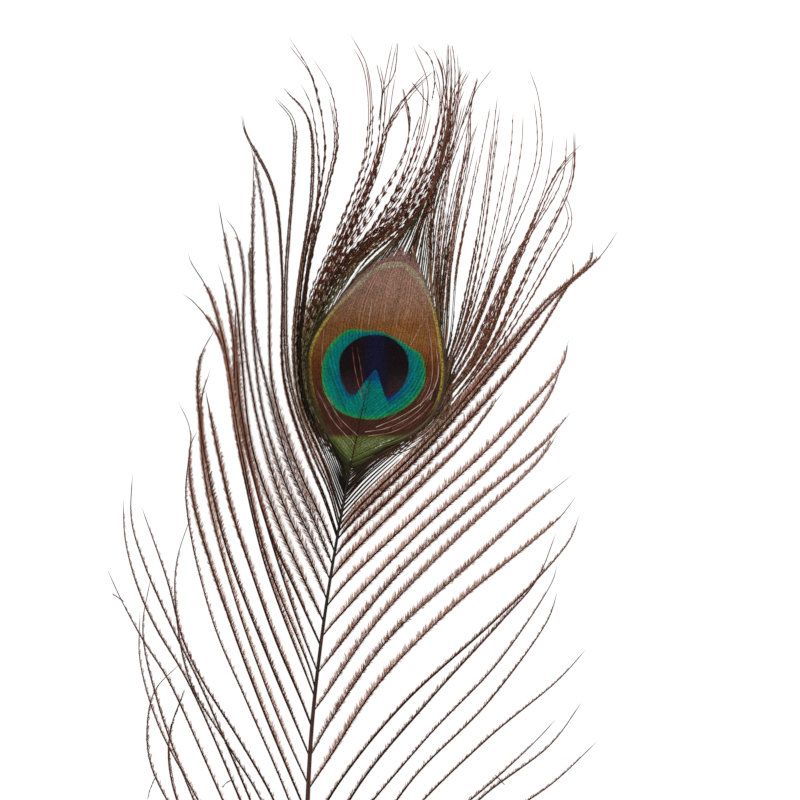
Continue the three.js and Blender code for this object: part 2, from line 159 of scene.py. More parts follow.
RIGHT_LEADS: list[Lead] = [
    (0, [(8, 15), (20, 32), (29, 43)]),
    (5, [(9, 22), (26, 43), (41, 57)]),
    (11, [(11, 30), (28.7, 51.2), (46.5, 66.5), (62.2, 77), (73, 87)]),
    (18.7, [(11, 36), (27, 56), (43.5, 73.2), (61, 86.2), (69, 96.7)]),
    (22, [(12, 43), (30, 63), (47.7, 78), (58.5, 88.2), (62.5, 92.5)]),
    (26.2, [(10.5, 45), (20.5, 62.5), (44.5, 87.5), (63, 102.5), (70, 110)]),
    (35, [(8.5, 50), (26.2, 77.5), (45.7, 97.5), (60.7, 117.5), (63, 124.5)]),
    (43.7, [(7.2, 60), (29.5, 87.5), (48.2, 107.5), (61.7, 127.5), (62.7, 131.2)]),
    (52.5, [(14, 77.5), (30.7, 97.5), (49.2, 117.5), (57.7, 127.5), (62.5, 139.2)]),
    (63, [(8.7, 77.5), (25, 97.5), (47, 117.5), (57.7, 127.5), (66.2, 137.5), (68.5, 143.7)]),
    (75, [(5.5, 82.5), (18.7, 102.5), (38.5, 122.5), (63, 142.5), (67.7, 148.2)]),
    (83.2, [(6.2, 92.5), (20.2, 112.5), (42.2, 132.5), (58.7, 147.5), (66.5, 153.7)]),
    (94.5, [(4, 97.5), (18, 117.5), (37.5, 137.5), (58.2, 157.5), (63, 164.5)]),
    (104, [(5.5, 107.5), (21.7, 127.5), (43.2, 147.5), (60.2, 162.5), (66.2, 169.7)]),
    (113.2, [(7.5, 117.5), (26.2, 137.5), (47.7, 157.5), (60.5, 172.5), (64, 181)]),
    (120.7, [(10.7, 127.5), (31.5, 147.5), (47.7, 162.5), (64, 181.5), (65.5, 187.5)]),
    (127.5, [(10, 132.5), (30, 152.5), (40.2, 162.5), (49.5, 174.5)]),
    (133, [(10.5, 137.5), (36, 162.5), (53.5, 182.5), (63.2, 197.5), (66.7, 203.7), (66.5, 208)]),
    (137.5, [(12, 142.5), (32.2, 162.5), (49.2, 182.5), (61.7, 197.5), (73.5, 208.2), (78, 214.5)]),
    (139.5, [(13, 145.5), (30.5, 162.5), (47.7, 182.5), (59.7, 196.7), (71.5, 207.5), (71.7, 212)]),
    (141.2, [(13.7, 147.5), (29, 162.5), (46, 182.5), (61.2, 207.5), (66.2, 217.5), (64.5, 224.5)]),
    (144.5, [(16.5, 152.5), (27.2, 162.5), (44.2, 182.5), (57.2, 207.5), (66.5, 227), (67.2, 239.7)]),
    (147, [(14.2, 152.5), (25.5, 162.5), (42.5, 182.5), (53, 207.5), (63.5, 230), (69.5, 236.5)]),
    (149, [(15, 154.5), (24.7, 162.5), (41.5, 182.5), (52.2, 207.5), (63.5, 227.5), (65, 238.7)]),
    (150.5, [(16, 156.5), (25.5, 163), (39.7, 182.5), (47, 197.5), (59.7, 226.2), (61.7, 238.7)]),
    (152.5, [(17, 158), (25.5, 164), (38.5, 182.5), (48.7, 207.5), (58, 232.5), (57.5, 248),
             (55.2, 255)]),
    (154, [(17.5, 159.5), (26, 165), (37.2, 182.5), (47.7, 207.5), (54, 235), (54.5, 243.7)]),
    (155.5, [(18, 160.5), (26, 165.7), (36.5, 182.5), (45, 207.5), (50.5, 235), (51.2, 245)]),
    (156.5, [(18.2, 161.5), (26, 166.5), (36, 182.5), (43, 207.5), (47.5, 235), (49.5, 246.2)]),
    (157.5, [(18.5, 162.5), (26.2, 167.5), (35.5, 182.5), (42, 207.5), (45.5, 227.5), (48, 248.7)]),
    (158.5, [(18.7, 163.2), (26.5, 168.5), (34.7, 182.5), (38, 207.5), (44, 237.5), (45.7, 246.2)]),
    (160, [(19, 164), (27, 169.5), (34, 182.5), (36.2, 207.5), (40.5, 240), (43, 253.5)]),
    ((33, 190), [(35, 207), (41, 235), (42.5, 248.7), (47.7, 255.7)]),
    ((32, 190), [(33, 207.5), (35.5, 227.5), (37, 245), (38.2, 252)]),
    ((30.5, 191), [(31.5, 207.5), (31.2, 220), (34.2, 245), (35.2, 262)]),
    ((26, 198), [(27, 212), (33, 227.5), (36.7, 245), (36.5, 261.2)]),
]

# Barbs that lead the flow of the eye vane: station on the shaft, then points to the top of the oval.
EYE_LEFT_FLOW: list[Lead] = [
    (157.6, [(8.5, 161), (5.3, 165.6), (2.2, 172), (0.7, 178.7), (1.2, 186.2), (4, 192), (8.5, 197.5)]),
    (163.5, [(10, 169.5), (6, 179.5), (5, 184.5), (5.2, 190), (8, 195.5), (12.5, 201.7)]),
    (173.2, [(12.7, 178.7), (11.5, 185), (11.5, 191.2), (13, 197.5), (17, 204.7)]),
    (179.7, [(17.7, 186.2), (18.7, 192.5), (20.2, 199.2), (22.7, 207.2)]),
]
EYE_RIGHT_FLOW: list[Lead] = [
    (158, [(18, 161), (24, 163.3), (29, 166.6), (32.6, 171.2), (34.4, 178), (34, 185), (31.9, 195)]),
    (164, [(19.7, 169.5), (25.5, 174), (28.9, 180), (30.2, 186.2), (30.5, 192.5), (29.7, 200)]),
    (173.2, [(19.7, 177.5), (22.5, 182.5), (24.5, 188.7), (26.2, 196.2), (27, 204.5)]),
    (179.7, [(17.7, 186.2), (18.7, 192.5), (20.2, 199.2), (22.7, 207.2)]),
]

# Loose ends that rise from the top of the eye into the crown.
FRINGE_FLOW: list[list[Point]] = [
    [(7, 196), (10.8, 201.5), (15.5, 206.5), (20.3, 210.3), (23.4, 214), (27, 218.5), (30.6, 223),
     (32.8, 229),
     (33.5, 236), (33, 245), (30.5, 256)],
    [(15.5, 204.7), (19.5, 209.9), (24.8, 215.4), (30.2, 222.7), (33.8, 231.4), (35.2, 241),
     (34.2, 254)],
    [(22.7, 207), (25.5, 212.5), (28.2, 218.7), (31, 225), (34.2, 235), (36, 245.5), (36.5, 258)],
    [(28.4, 203), (29.2, 208.7), (30.2, 216.2), (32.2, 223.7), (35.3, 232.5), (38.2, 241.2), (41, 254)],
    [(32.2, 197.5), (32.9, 205), (33.4, 212.5), (34.9, 222.5), (37.4, 232.5), (41.2, 242), (46.5, 251)],
    [(34.8, 181), (35.1, 188), (35.7, 196), (36.6, 205), (37.8, 214), (39.6, 224), (41.7, 234),
     (43.5, 243)],
]

# Single barbs that stray from their neighbours, and broken ends.
STRAYS: list[list[Point]] = [
    [(-48.5, 124), (-47, 123.2), (-45.5, 122)],
    [(-30.5, 100), (-32.7, 93.7), (-34, 90), (-34.2, 85), (-33.2, 77.5), (-32.2, 72.5)],
    [(-37.7, 78.2), (-39, 75), (-39.7, 72.5)],
    [(-18.5, 77.5), (-20, 76.7), (-21, 75.5)],
    [(49.7, 76.2), (48.4, 77.7), (47.2, 78.7)],
    [(31.5, 247.5), (32.2, 253), (31, 258), (28, 261.5)],
    [(34.5, 250), (34, 255), (33, 258)],
    [(33.5, 246), (35.2, 252.5), (35.7, 261.5)],
    [(37, 246), (37.2, 256), (36.5, 261.5)],
    [(38.5, 240), (41.5, 247.5), (43, 253)],
    [(18.5, 242.5), (19.2, 249), (22, 254), (23, 262)],
    [(18.2, 242.5), (19, 250), (17.7, 256.5)],
    [(26.5, 252), (28.5, 249.2), (31, 246)],
    [(19.2, 239), (23, 246), (27.2, 250.5), (31.5, 254.5)],
    [(25, 235), (26, 242.5), (24.2, 250.5)],
    [(26.5, 237.5), (28.5, 243.5)],
    [(3.5, 245), (1, 254), (-4, 261)],
]

# Threads that lie on the eye: how light each is, its half width, then its points.
EYE_THREADS: list[tuple[float, float, list[Point]]] = [
    (0.0, 0.06, [(10, 169.5), (6, 179.5), (5, 183.7)]),
    (0.5, 0.1, [(14, 173.2), (12.4, 179.5), (11.5, 185.8)]),
    (0.45, 0.08, [(14.4, 175.2), (13.6, 181), (12.8, 185.6)]),
    (0.9, 0.07, [(17.5, 165.7), (23.5, 168.3), (29.2, 172), (32.6, 176.5), (33.4, 182)]),
    (0.8, 0.07, [(14.7, 164.5), (20.5, 165.6), (27.5, 169.3), (31.4, 173.6)]),
    (0.7, 0.07, [(15.5, 163.5), (21.5, 164.5), (27, 167.4), (31.8, 172)]),
    (0.0, 0.06, [(18.5, 170), (24.7, 173.7), (28.5, 178.7)]),
    (0.05, 0.06, [(20.5, 169.3), (26.2, 174), (29.4, 179.4)]),
    (0.8, 0.07, [(16.5, 197.5), (15.5, 190.7)]),
    (0.7, 0.07, [(26.2, 186.2), (29.7, 193)]),
    (0.7, 0.07, [(24.7, 192.5), (28, 202.5)]),
    (0.6, 0.07, [(3.9, 181), (4.2, 187), (4.8, 193)]),
    (0.7, 0.07, [(19.5, 192), (20.2, 199), (22, 205)]),
    (0.65, 0.07, [(22.5, 190.5), (23.7, 197.5), (25.5, 204.5)]),
    (0.8, 0.07, [(31, 172.5), (33, 179), (32.3, 188)]),
    (0.75, 0.07, [(28.5, 171), (31.2, 176.5), (31.4, 185), (30, 194)]),
    (0.7, 0.07, [(13, 163.5), (8, 168.5), (4.2, 175.5)]),
    (0.75, 0.07, [(12.4, 161.2), (6.6, 167.6), (2.8, 175)]),
    (0.0, 0.06, [(16.2, 178.2), (14.9, 170), (13.2, 163)]),
]

# Closed outlines of the eye's markings.
OVAL_OUTLINE: list[Point] = [
    (23.7, 206.9), (28.3, 203.7), (31.8, 196), (33.9, 184.7), (34.3, 177.7), (32.2, 170.3),
    (27.2, 165.5), (20, 162), (11.8, 157.4), (5.5, 165.5), (2, 172.8), (0.8, 180.3),
    (1.3, 185.8), (4.5, 192.1), (10.4, 199.1), (18.1, 206),
]
DISC_OUTLINE: list[Point] = [
    (15.4, 189.8), (10.4, 190), (8, 188.3), (5.5, 185.4), (4.2, 181.9), (4, 178.4), (4.5, 174.9),
    (6.2, 171.8), (9, 169.3), (12.5, 168.1), (16.8, 167.7), (20.2, 168.4), (24.5, 170.4),
    (27.6, 173.2), (29.4, 176.3), (29.9, 179.5), (29.3, 182.5), (28.2, 184.4), (26.5, 185.3),
    (23.8, 187.2), (20.3, 188.9), (18.2, 189.7),
]
HEART_OUTLINE: list[Point] = [
    (17.1, 188.9), (20.9, 188.3), (23.8, 186.2), (25.4, 183.7), (25.8, 180.9), (25.2, 177.7),
    (23.1, 174.5), (20.9, 173.1), (19.9, 173.4), (19.2, 174.9), (18.5, 177.7), (17.5, 179.9),
    (16.1, 178.8), (14.3, 176.7), (13, 174.6), (11.5, 173.7), (10.1, 174.5), (8.7, 177.7),
    (8.2, 180.9), (8.7, 184), (10.8, 186.5), (13.6, 188.3),
]


# ---------------------------------------------------------------- curves and fields


def ramp(low: float, high: float, value: np.ndarray) -> np.ndarray:
    """Smooth step: 3x² - 2x³, where x runs from 0 at low to 1 at high and is held beyond them."""
    x = np.clip((value - low) / (high - low), 0.0, 1.0)
    return x * x * (3.0 - 2.0 * x)


def smooth_line(points: Sequence[Sequence[float]], samples: int) -> np.ndarray:
    """Carries a smooth curve through points and walks it in even steps.

    Between two points the curve is the cubic that has their places and the slopes that their own
    neighbours give (Catmull-Rom, with knots spaced by the square root of the distance).

    Args:
        points: the points, in two or three dimensions.
        samples: how many points to return.

    Returns:
        An array (samples, dimensions), evenly spaced by length.
    """
    p = np.asarray(points, float)
    knots = np.concatenate([[0.0], np.cumsum(np.linalg.norm(np.diff(p, axis=0), axis=1) ** 0.5)])
    step = np.diff(knots)[:, None]
    chord = np.diff(p, axis=0) / step
    slope = np.empty_like(p)
    slope[0], slope[-1] = chord[0], chord[-1]
    slope[1:-1] = chord[:-1] + chord[1:] - (p[2:] - p[:-2]) / (step[:-1] + step[1:])
    at = np.linspace(0.0, knots[-1], STEPS_PER_POINT * len(p))
    i = np.clip(np.searchsorted(knots, at, side="right") - 1, 0, len(p) - 2)
    h = step[i]
    x = (at - knots[i])[:, None] / h
    curve = (
        (2 * x**3 - 3 * x**2 + 1) * p[i]
        + (x**3 - 2 * x**2 + x) * h * slope[i]
        + (3 * x**2 - 2 * x**3) * p[i + 1]
        + (x**3 - x**2) * h * slope[i + 1]
    )
    walked = np.concatenate([[0.0], np.cumsum(np.linalg.norm(np.diff(curve, axis=0), axis=1))])
    even = np.linspace(0.0, walked[-1], samples)
    return np.stack([np.interp(even, walked, curve[:, k]) for k in range(p.shape[1])], axis=1)


class Outline:
    """A closed outline that each ray from its centre meets once."""

    def __init__(self, centre: Point, points: list[Point], samples: int = 900) -> None:
        """Rounds the points off into a closed curve and stores its radius by angle.

        Args:
            centre: the point that the rays start from.
            points: the outline's points, in order.
            samples: how many radii are stored.
        """
        self.centre = centre
        closed = smooth_line(points[-3:] + points + points[:3], samples)
        offset = closed - np.array(centre)
        self.angles = np.arctan2(offset[:, 1], offset[:, 0])
        self.radii = np.hypot(offset[:, 0], offset[:, 1])

    def beyond(self, places: np.ndarray) -> np.ndarray:
        """How far places (..., 2 or more) lie beyond the outline, along their rays; negative inside."""
        x = places[..., 0] - self.centre[0]
        y = places[..., 1] - self.centre[1]
        edge = np.interp(np.arctan2(y, x), self.angles, self.radii, period=math.tau)
        return np.hypot(x, y) - edge


OVAL = Outline(EYE_CENTRE, OVAL_OUTLINE)
DISC = Outline(DISC_CENTRE, DISC_OUTLINE)
HEART = Outline(HEART_CENTRE, HEART_OUTLINE)


def eye_height(places: np.ndarray) -> np.ndarray:
    """Height of the eye vane's face.

    It is the rim's height plus a crown that falls with the squared distance from the eye's middle,
    measured in half widths and half lengths of the leaning oval.

    Args:
        places: points, (..., 2 or more).

    Returns:
        The height at each of them.
    """
    x = places[..., 0] - EYE_CENTRE[0]
    y = places[..., 1] - EYE_CENTRE[1]
    along = x * math.sin(EYE_LEAN) + y * math.cos(EYE_LEAN)
    across = x * math.cos(EYE_LEAN) - y * math.sin(EYE_LEAN)
    fall = (across / EYE_HALF_WIDTH) ** 2 + (along / EYE_HALF_LENGTH) ** 2
    return EYE_EDGE_HEIGHT + EYE_CROWN * np.clip(1.0 - fall, -EYE_SKIRT, 1.0)


def lead_line(lead: Lead, index: int, samples: int) -> np.ndarray:
    """Centre line of one leading barb, arched over the floor.

    Height falls evenly from the root to the tip, plus an arch: lift times the sine of the share of the
    length, where lift grows with the length and alternates between neighbouring layers.

    Args:
        lead: the barb's root and plan points.
        index: its number in the vane, which picks its layer.
        samples: how many points to return.

    Returns:
        An array (samples, 3).
    """
    root, path = lead
    if isinstance(root, tuple):
        start, height = root, EYE_EDGE_HEIGHT
    else:
        shaft = smooth_line(SHAFT_LINE, 400)
        start = (float(np.interp(root, shaft[:, 1], shaft[:, 0])), float(root))
        height = 0.5 * Shaft.height_at(root)
    plan = smooth_line([start, *path], samples)
    length = np.linalg.norm(np.diff(plan, axis=0), axis=1).sum()
    lift = length * LIFT_PER_LENGTH + LIFT_LAYERS[index % len(LIFT_LAYERS)]
    t = np.linspace(0.0, 1.0, samples)
    z = height * (1 - t) + TIP_HEIGHT * t + lift * np.sin(math.pi * t)
    return np.column_stack([plan, z])


# ---------------------------------------------------------------- strands


@dataclass
class Strands:
    """Barbs as centre lines with equally many points each: an array (barbs, points, 3)."""

    points: np.ndarray

    UNDER_RIM: ClassVar[float] = 0.3    # depth below the vane's face at which barbs pass under its rim
    SHORTEST: ClassVar[float] = 0.1     # share of its length that a barb has to keep outside the eye

    @classmethod
    def between(cls, leads: np.ndarray, places: np.ndarray, clump: float) -> "Strands":
        """Lays strands between neighbouring leading barbs.

        p(t) = (1 - w) A(t) + w B(t): w is the strand's own share between leads A and B at the root, and
        slides towards the nearer lead with t to the power 1.5, times clump.

        Args:
            leads: the leading barbs, (leads, points, 3).
            places: each strand's place, counted in leads.
            clump: 0 keeps the strands spread, 1 gathers each tip onto its lead.

        Returns:
            The strands.
        """
        low = np.clip(places.astype(int), 0, len(leads) - 2)
        share = (places - low)[:, None]
        t = np.linspace(0.0, 1.0, leads.shape[1])[None, :]
        w = (share + (np.round(share) - share) * clump * t**1.5)[..., None]
        return cls(leads[low] * (1 - w) + leads[low + 1] * w)

    @classmethod
    def raised(cls, plans: np.ndarray, height: np.ndarray) -> "Strands":
        """Plan lines (barbs, points, 2) set at a height for each of their points."""
        return cls(np.concatenate([plans, np.broadcast_to(height, plans.shape[:2])[..., None]], axis=2))

    @property
    def count(self) -> int:
        """How many strands there are."""
        return len(self.points)

    def lengths(self) -> np.ndarray:
        """Length of each strand."""
        return np.linalg.norm(np.diff(self.points, axis=1), axis=2).sum(axis=1)

    def tangents(self) -> np.ndarray:
        """Unit directions towards the tip, one per point."""
        slope = np.gradient(self.points, axis=1)
        return slope / np.maximum(np.linalg.norm(slope, axis=2, keepdims=True), 1e-9)

    def sides(self) -> np.ndarray:
        """Level unit vectors to the right of the way to the tip."""
        side = np.cross(self.tangents(), UP)
        return side / np.maximum(np.linalg.norm(side, axis=2, keepdims=True), 1e-9)

    def trimmed(self, start: np.ndarray | float, end: np.ndarray | float, samples: int = 0) -> "Strands":
        """Keeps only the stretch from share start to share end of each strand.

        Args:
            start: where it starts, one share for each strand or one for all.
            end: where it ends, likewise.
            samples: how many points it gets; 0 keeps their number.

        Returns:
            The new strands.
        """
        last = self.points.shape[1] - 1
        start, end = (np.broadcast_to(share, self.count)[:, None] for share in (start, end))
        t = np.linspace(0.0, 1.0, samples or last + 1)[None, :]
        at = (start + (end - start) * t) * last
        low = np.clip(at.astype(int), 0, last - 1)
        w = (at - low)[..., None]
        row = np.arange(self.count)[:, None]
        return Strands(self.points[row, low] * (1 - w) + self.points[row, low + 1] * w)

    def shifted(self, across: np.ndarray, up: np.ndarray | float = 0.0) -> "Strands":
        """Moves every point by across to its right and by up, and keeps it within the model's height."""
        moved = self.points + self.sides() * across[..., None]
        moved[..., 2] = np.clip(moved[..., 2] + up, LOWEST, HIGHEST)
        return Strands(moved)

    def outside_eye(self, near: float, far: float, shallow: float) -> "Strands":
        """Keeps the strands off the eye vane, and in their order.

        Along a strand that never runs deeper inside the oval than shallow, distances beyond it from
        -shallow to far are drawn together evenly into near to far. A strand that runs deeper starts
        where it leaves the oval for good. Close to the eye a strand sinks under the vane's rim.

        Args:
            near: the distance that stays free beyond the oval.
            far: the distance from which strands stay where they are.
            shallow: the depth up to which a strand is moved out.

        Returns:
            The strands that remain.
        """
        out = OVAL.beyond(self.points)
        moves = out.min(axis=1) > -shallow
        ray = self.points[..., :2] - np.array(EYE_CENTRE)
        ray = ray / np.maximum(np.linalg.norm(ray, axis=2, keepdims=True), 1e-6)
        t = np.linspace(0.0, 1.0, self.points.shape[1])
        drawn = near + (np.clip(out, -shallow, far) + shallow) * (far - near) / (far + shallow)
        push = np.where(out < far, drawn - out, 0.0) * moves[:, None] * ramp(0.0, 0.05, t)
        moved = self.points.copy()
        moved[..., :2] += ray * push[..., None]
        under = ramp(2.5, 0.5, OVAL.beyond(moved))
        sunk = np.minimum(moved[..., 2], eye_height(moved) - self.UNDER_RIM)
        moved[..., 2] += (sunk - moved[..., 2]) * under
        inside = (out < near) & ~moves[:, None]
        last = self.points.shape[1] - 1
        final = last - np.argmax(inside[:, ::-1], axis=1)
        start = np.where(inside.any(axis=1), final / last, 0.0)
        kept = start < 1 - self.SHORTEST
        return Strands(moved[kept]).trimmed(start[kept], 1.0)

    def sample(self, which: np.ndarray, share: np.ndarray) -> list[np.ndarray]:
        """Reads strands at any share of their length.

        Args:
            which: numbers of the strands.
            share: share of the length for each.

        Returns:
            Places, directions and right-hand sides there.
        """
        last = self.points.shape[1] - 1
        at = np.clip(share, 0.0, 1.0) * last
        low = np.clip(at.astype(int), 0, last - 1)
        w = (at - low)[:, None]
        fields = (self.points, self.tangents(), self.sides())
        return [values[which, low] * (1 - w) + values[which, low + 1] * w for values in fields]


def drift(rng: Random, count: int, samples: int, size: float) -> np.ndarray:
    """Slow sideways drift of strands: two sines of random phase that grow from the root.

    Args:
        rng: source of the phases.
        count: how many strands.
        samples: points of each.
        size: how far they drift, about.

    Returns:
        An array (count, samples).
    """
    t = np.linspace(0.0, 1.0, samples)[None, :]
    phase = rng.uniform(0, math.tau, (2, count, 1))
    turns = rng.uniform(0.6, 1.6, (2, count, 1))
    slow = np.sin(math.tau * turns[0] * t + phase[0])
    quick = np.sin(2 * math.tau * turns[1] * t + phase[1])
    return size * (slow + 0.5 * quick) * t


# ---------------------------------------------------------------- meshes


@dataclass
class Mesh:
    """Triangles with a value of each named attribute at every vertex."""

    vertices: np.ndarray
    triangles: np.ndarray
    values: dict[str, np.ndarray] = field(default_factory=dict)

    @classmethod
    def joined(cls, parts: Sequence["Mesh"]) -> "Mesh":
        """Puts several meshes with the same attributes into one."""
        starts = np.cumsum([0] + [len(part.vertices) for part in parts[:-1]])
        return cls(
            np.concatenate([part.vertices for part in parts]),
            np.concatenate([part.triangles + start for part, start in zip(parts, starts)]),
            {name: np.concatenate([part.values[name] for part in parts]) for name in parts[0].values},
        )

    def to_piece(self, name: str, finish: bpy.types.Material, slot: str) -> bpy.types.Object:
        """Writes the mesh into Blender as a piece that rides on the feather and stands for its solid.

        Args:
            name: the piece's name.
            finish: its material.
            slot: not used.

        Returns:
            The new object.
        """
        made = bpy.data.meshes.new(name)
        made.vertices.add(len(self.vertices))
        made.vertices.foreach_set("co", (self.vertices * MM).astype(np.float32).ravel())
        made.loops.add(self.triangles.size)
        made.loops.foreach_set("vertex_index", self.triangles.astype(np.int32).ravel())
        made.polygons.add(len(self.triangles))
        made.polygons.foreach_set("loop_start", np.arange(0, self.triangles.size, 3, dtype=np.int32))
        made.update(calc_edges=True)
        for label, numbers in self.values.items():
            stored = made.attributes.new(label, "FLOAT", "POINT")
            stored.data.foreach_set("value", numbers.astype(np.float32))
        made.materials.append(finish)
        piece = bpy.data.objects.new(name, made)
        bpy.context.scene.collection.objects.link(piece)
        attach(piece, "root")
        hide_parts("feather")
        log.info("%s: %d triangles", name, len(self.triangles))
        return piece


def tube_walls(rings: int, sides: int) -> np.ndarray:
    """Triangles between neighbouring rings of corners: two for each side, (triangles, 3)."""
    ring = np.arange(rings - 1)[:, None] * sides
    turn = np.arange(sides)[None, :]
    a, b = ring + turn, ring + (turn + 1) % sides
    return np.stack([a, b, b + sides, a, b + sides, a + sides], axis=2).reshape(-1, 3)


def rods(strands: Strands, half_width: np.ndarray, half_height: np.ndarray) -> Mesh:
    """Closed rods of diamond section along the strands.

    Ring corners are p - s w, p + up h, p + s w and p - up h, where s is the strand's side, w the half
    width and h the half height at that point; both ends are closed by two triangles.

    Args:
        strands: the centre lines.
        half_width: half widths, (barbs, points).
        half_height: half heights, (barbs, points).

    Returns:
        The mesh, with the attributes `along`, the share of the length, and `barbule`, which is 0.
    """
    count, samples = half_width.shape
    side = strands.sides() * half_width[..., None]
    rise = UP * half_height[..., None]
    p = strands.points
    corners = np.stack([p - side, p + rise, p + side, p - rise], axis=2)
    corners[..., 2] = np.maximum(corners[..., 2], FLOOR_GAP)
    last = CORNERS * (samples - 1)
    ends = np.array([[0, 3, 2], [0, 2, 1], [last, last + 1, last + 2], [last, last + 2, last + 3]])
    one = np.concatenate([tube_walls(samples, CORNERS), ends])
    faces = (one[None] + (np.arange(count) * samples * CORNERS)[:, None, None]).reshape(-1, 3)
    along = np.tile(np.repeat(np.linspace(0.0, 1.0, samples), CORNERS), count)
    return Mesh(corners.reshape(-1, 3), faces, {"along": along, "barbule": np.zeros(along.size)})


@dataclass
class Blades:
    """Barbules about to be laid along strands. Arrays hold one value per barbule."""

    which: np.ndarray       # number of the strand
    share: np.ndarray       # share of its length
    turn: np.ndarray        # angle from the way to the tip, to the right, in radians
    length: np.ndarray
    width: np.ndarray
    rise: np.ndarray        # how far the tip stands above the root

    FACES: ClassVar[np.ndarray] = np.array([[0, 3, 2], [1, 2, 3], [0, 2, 1], [0, 1, 3]])
    OUT: ClassVar[tuple[float, ...]] = (0.5, 1.0, 0.78, 0.78)   # the attribute `barbule` of the corners
    WAIST: ClassVar[float] = 0.55       # where the blade is widest, as a share of its length
    KEEL: ClassVar[float] = 0.35        # how far the wings stand above the keel, in widths

    def mesh(self, strands: Strands, offset: float) -> Mesh:
        """Builds each barbule as a kite of four triangles.

        Root r and tip r + L d are the ends of its keel, where d is the strand's direction turned by the
        angle. Its two wings stand out by half the width at the waist, a little above the keel.

        Args:
            strands: the strands that carry them.
            offset: how far above the strand's line the roots lie.

        Returns:
            The mesh, with the attributes `along` and `barbule`, from 0.5 at the root to 1 at the tip.
        """
        place, ahead, side = strands.sample(self.which, self.share)
        cos, sin = np.cos(self.turn)[:, None], np.sin(self.turn)[:, None]
        out = ahead * cos + side * sin
        wing = side * cos - ahead * sin
        root = place + UP * offset
        tip = root + out * self.length[:, None] + UP * self.rise[:, None]
        middle = root + self.WAIST * (tip - root) + UP * (self.KEEL * self.width[:, None])
        half = wing * (0.5 * self.width[:, None])
        corners = np.stack([root, tip, middle - half, middle + half], axis=1)
        corners[..., 2] = np.clip(corners[..., 2], FLOOR_GAP, HIGHEST + BARBULE_ROOM)
        faces = (self.FACES[None] + (4 * np.arange(len(place)))[:, None, None]).reshape(-1, 3)
        values = {"along": np.repeat(self.share, 4), "barbule": np.tile(self.OUT, len(place))}
        return Mesh(corners.reshape(-1, 3), faces, values)


def even_places(rng: Random, lengths: np.ndarray, spacing: float) -> tuple[np.ndarray, np.ndarray]:
    """Spreads places along strands, spacing apart with a random shift of up to a third of it.

    Args:
        rng: source of the random shifts.
        lengths: length of each strand.
        spacing: distance between places.

    Returns:
        The number of the strand and the share of its length, for each place.
    """
    counts = np.maximum((lengths / spacing).astype(int), 1)
    which = np.repeat(np.arange(len(lengths)), counts)
    order = np.arange(counts.sum()) - np.repeat(np.cumsum(counts) - counts, counts)
    share = (order + 0.5 + rng.uniform(-0.33, 0.33, len(order))) / counts[which]
    return which, share


def tufts(rng: Random, which: np.ndarray, arc: np.ndarray) -> np.ndarray:
    """Waves from -1 to 1 along strands: two sines of random phase, one 2.3 times as quick as the other.

    Args:
        rng: source of the phases.
        which: number of the strand for each place.
        arc: distance of the place from the root.

    Returns:
        The wave's value at each place.
    """
    phase = rng.uniform(0, math.tau, (2, int(which.max()) + 1))
    slow = np.sin(math.tau * arc / TUFT_LENGTH + phase[0][which])
    quick = np.sin(math.tau * arc * 2.3 / TUFT_LENGTH + phase[1][which])
    return 0.6 * slow + 0.4 * quick


# ---------------------------------------------------------------- coats of barbules


class Side(Enum):
    """The two vanes. The value is the side of a barb's way to its tip on which its distal edge lies."""

    LEFT = 1
    RIGHT = -1


@dataclass(frozen=True)
class Row:
    """One row of barbules along a barb."""

    edge: int               # DISTAL or PROXIMAL
    length: float
    angle: float            # degrees from the way to the tip
    spacing: float
    blade: float            # width of one barbule
    tuft: float = 0.3       # share by which tufts lengthen and shorten it
    comes: Stretch = (-1.0, -0.5)   # stretch of the barb over which this row comes in


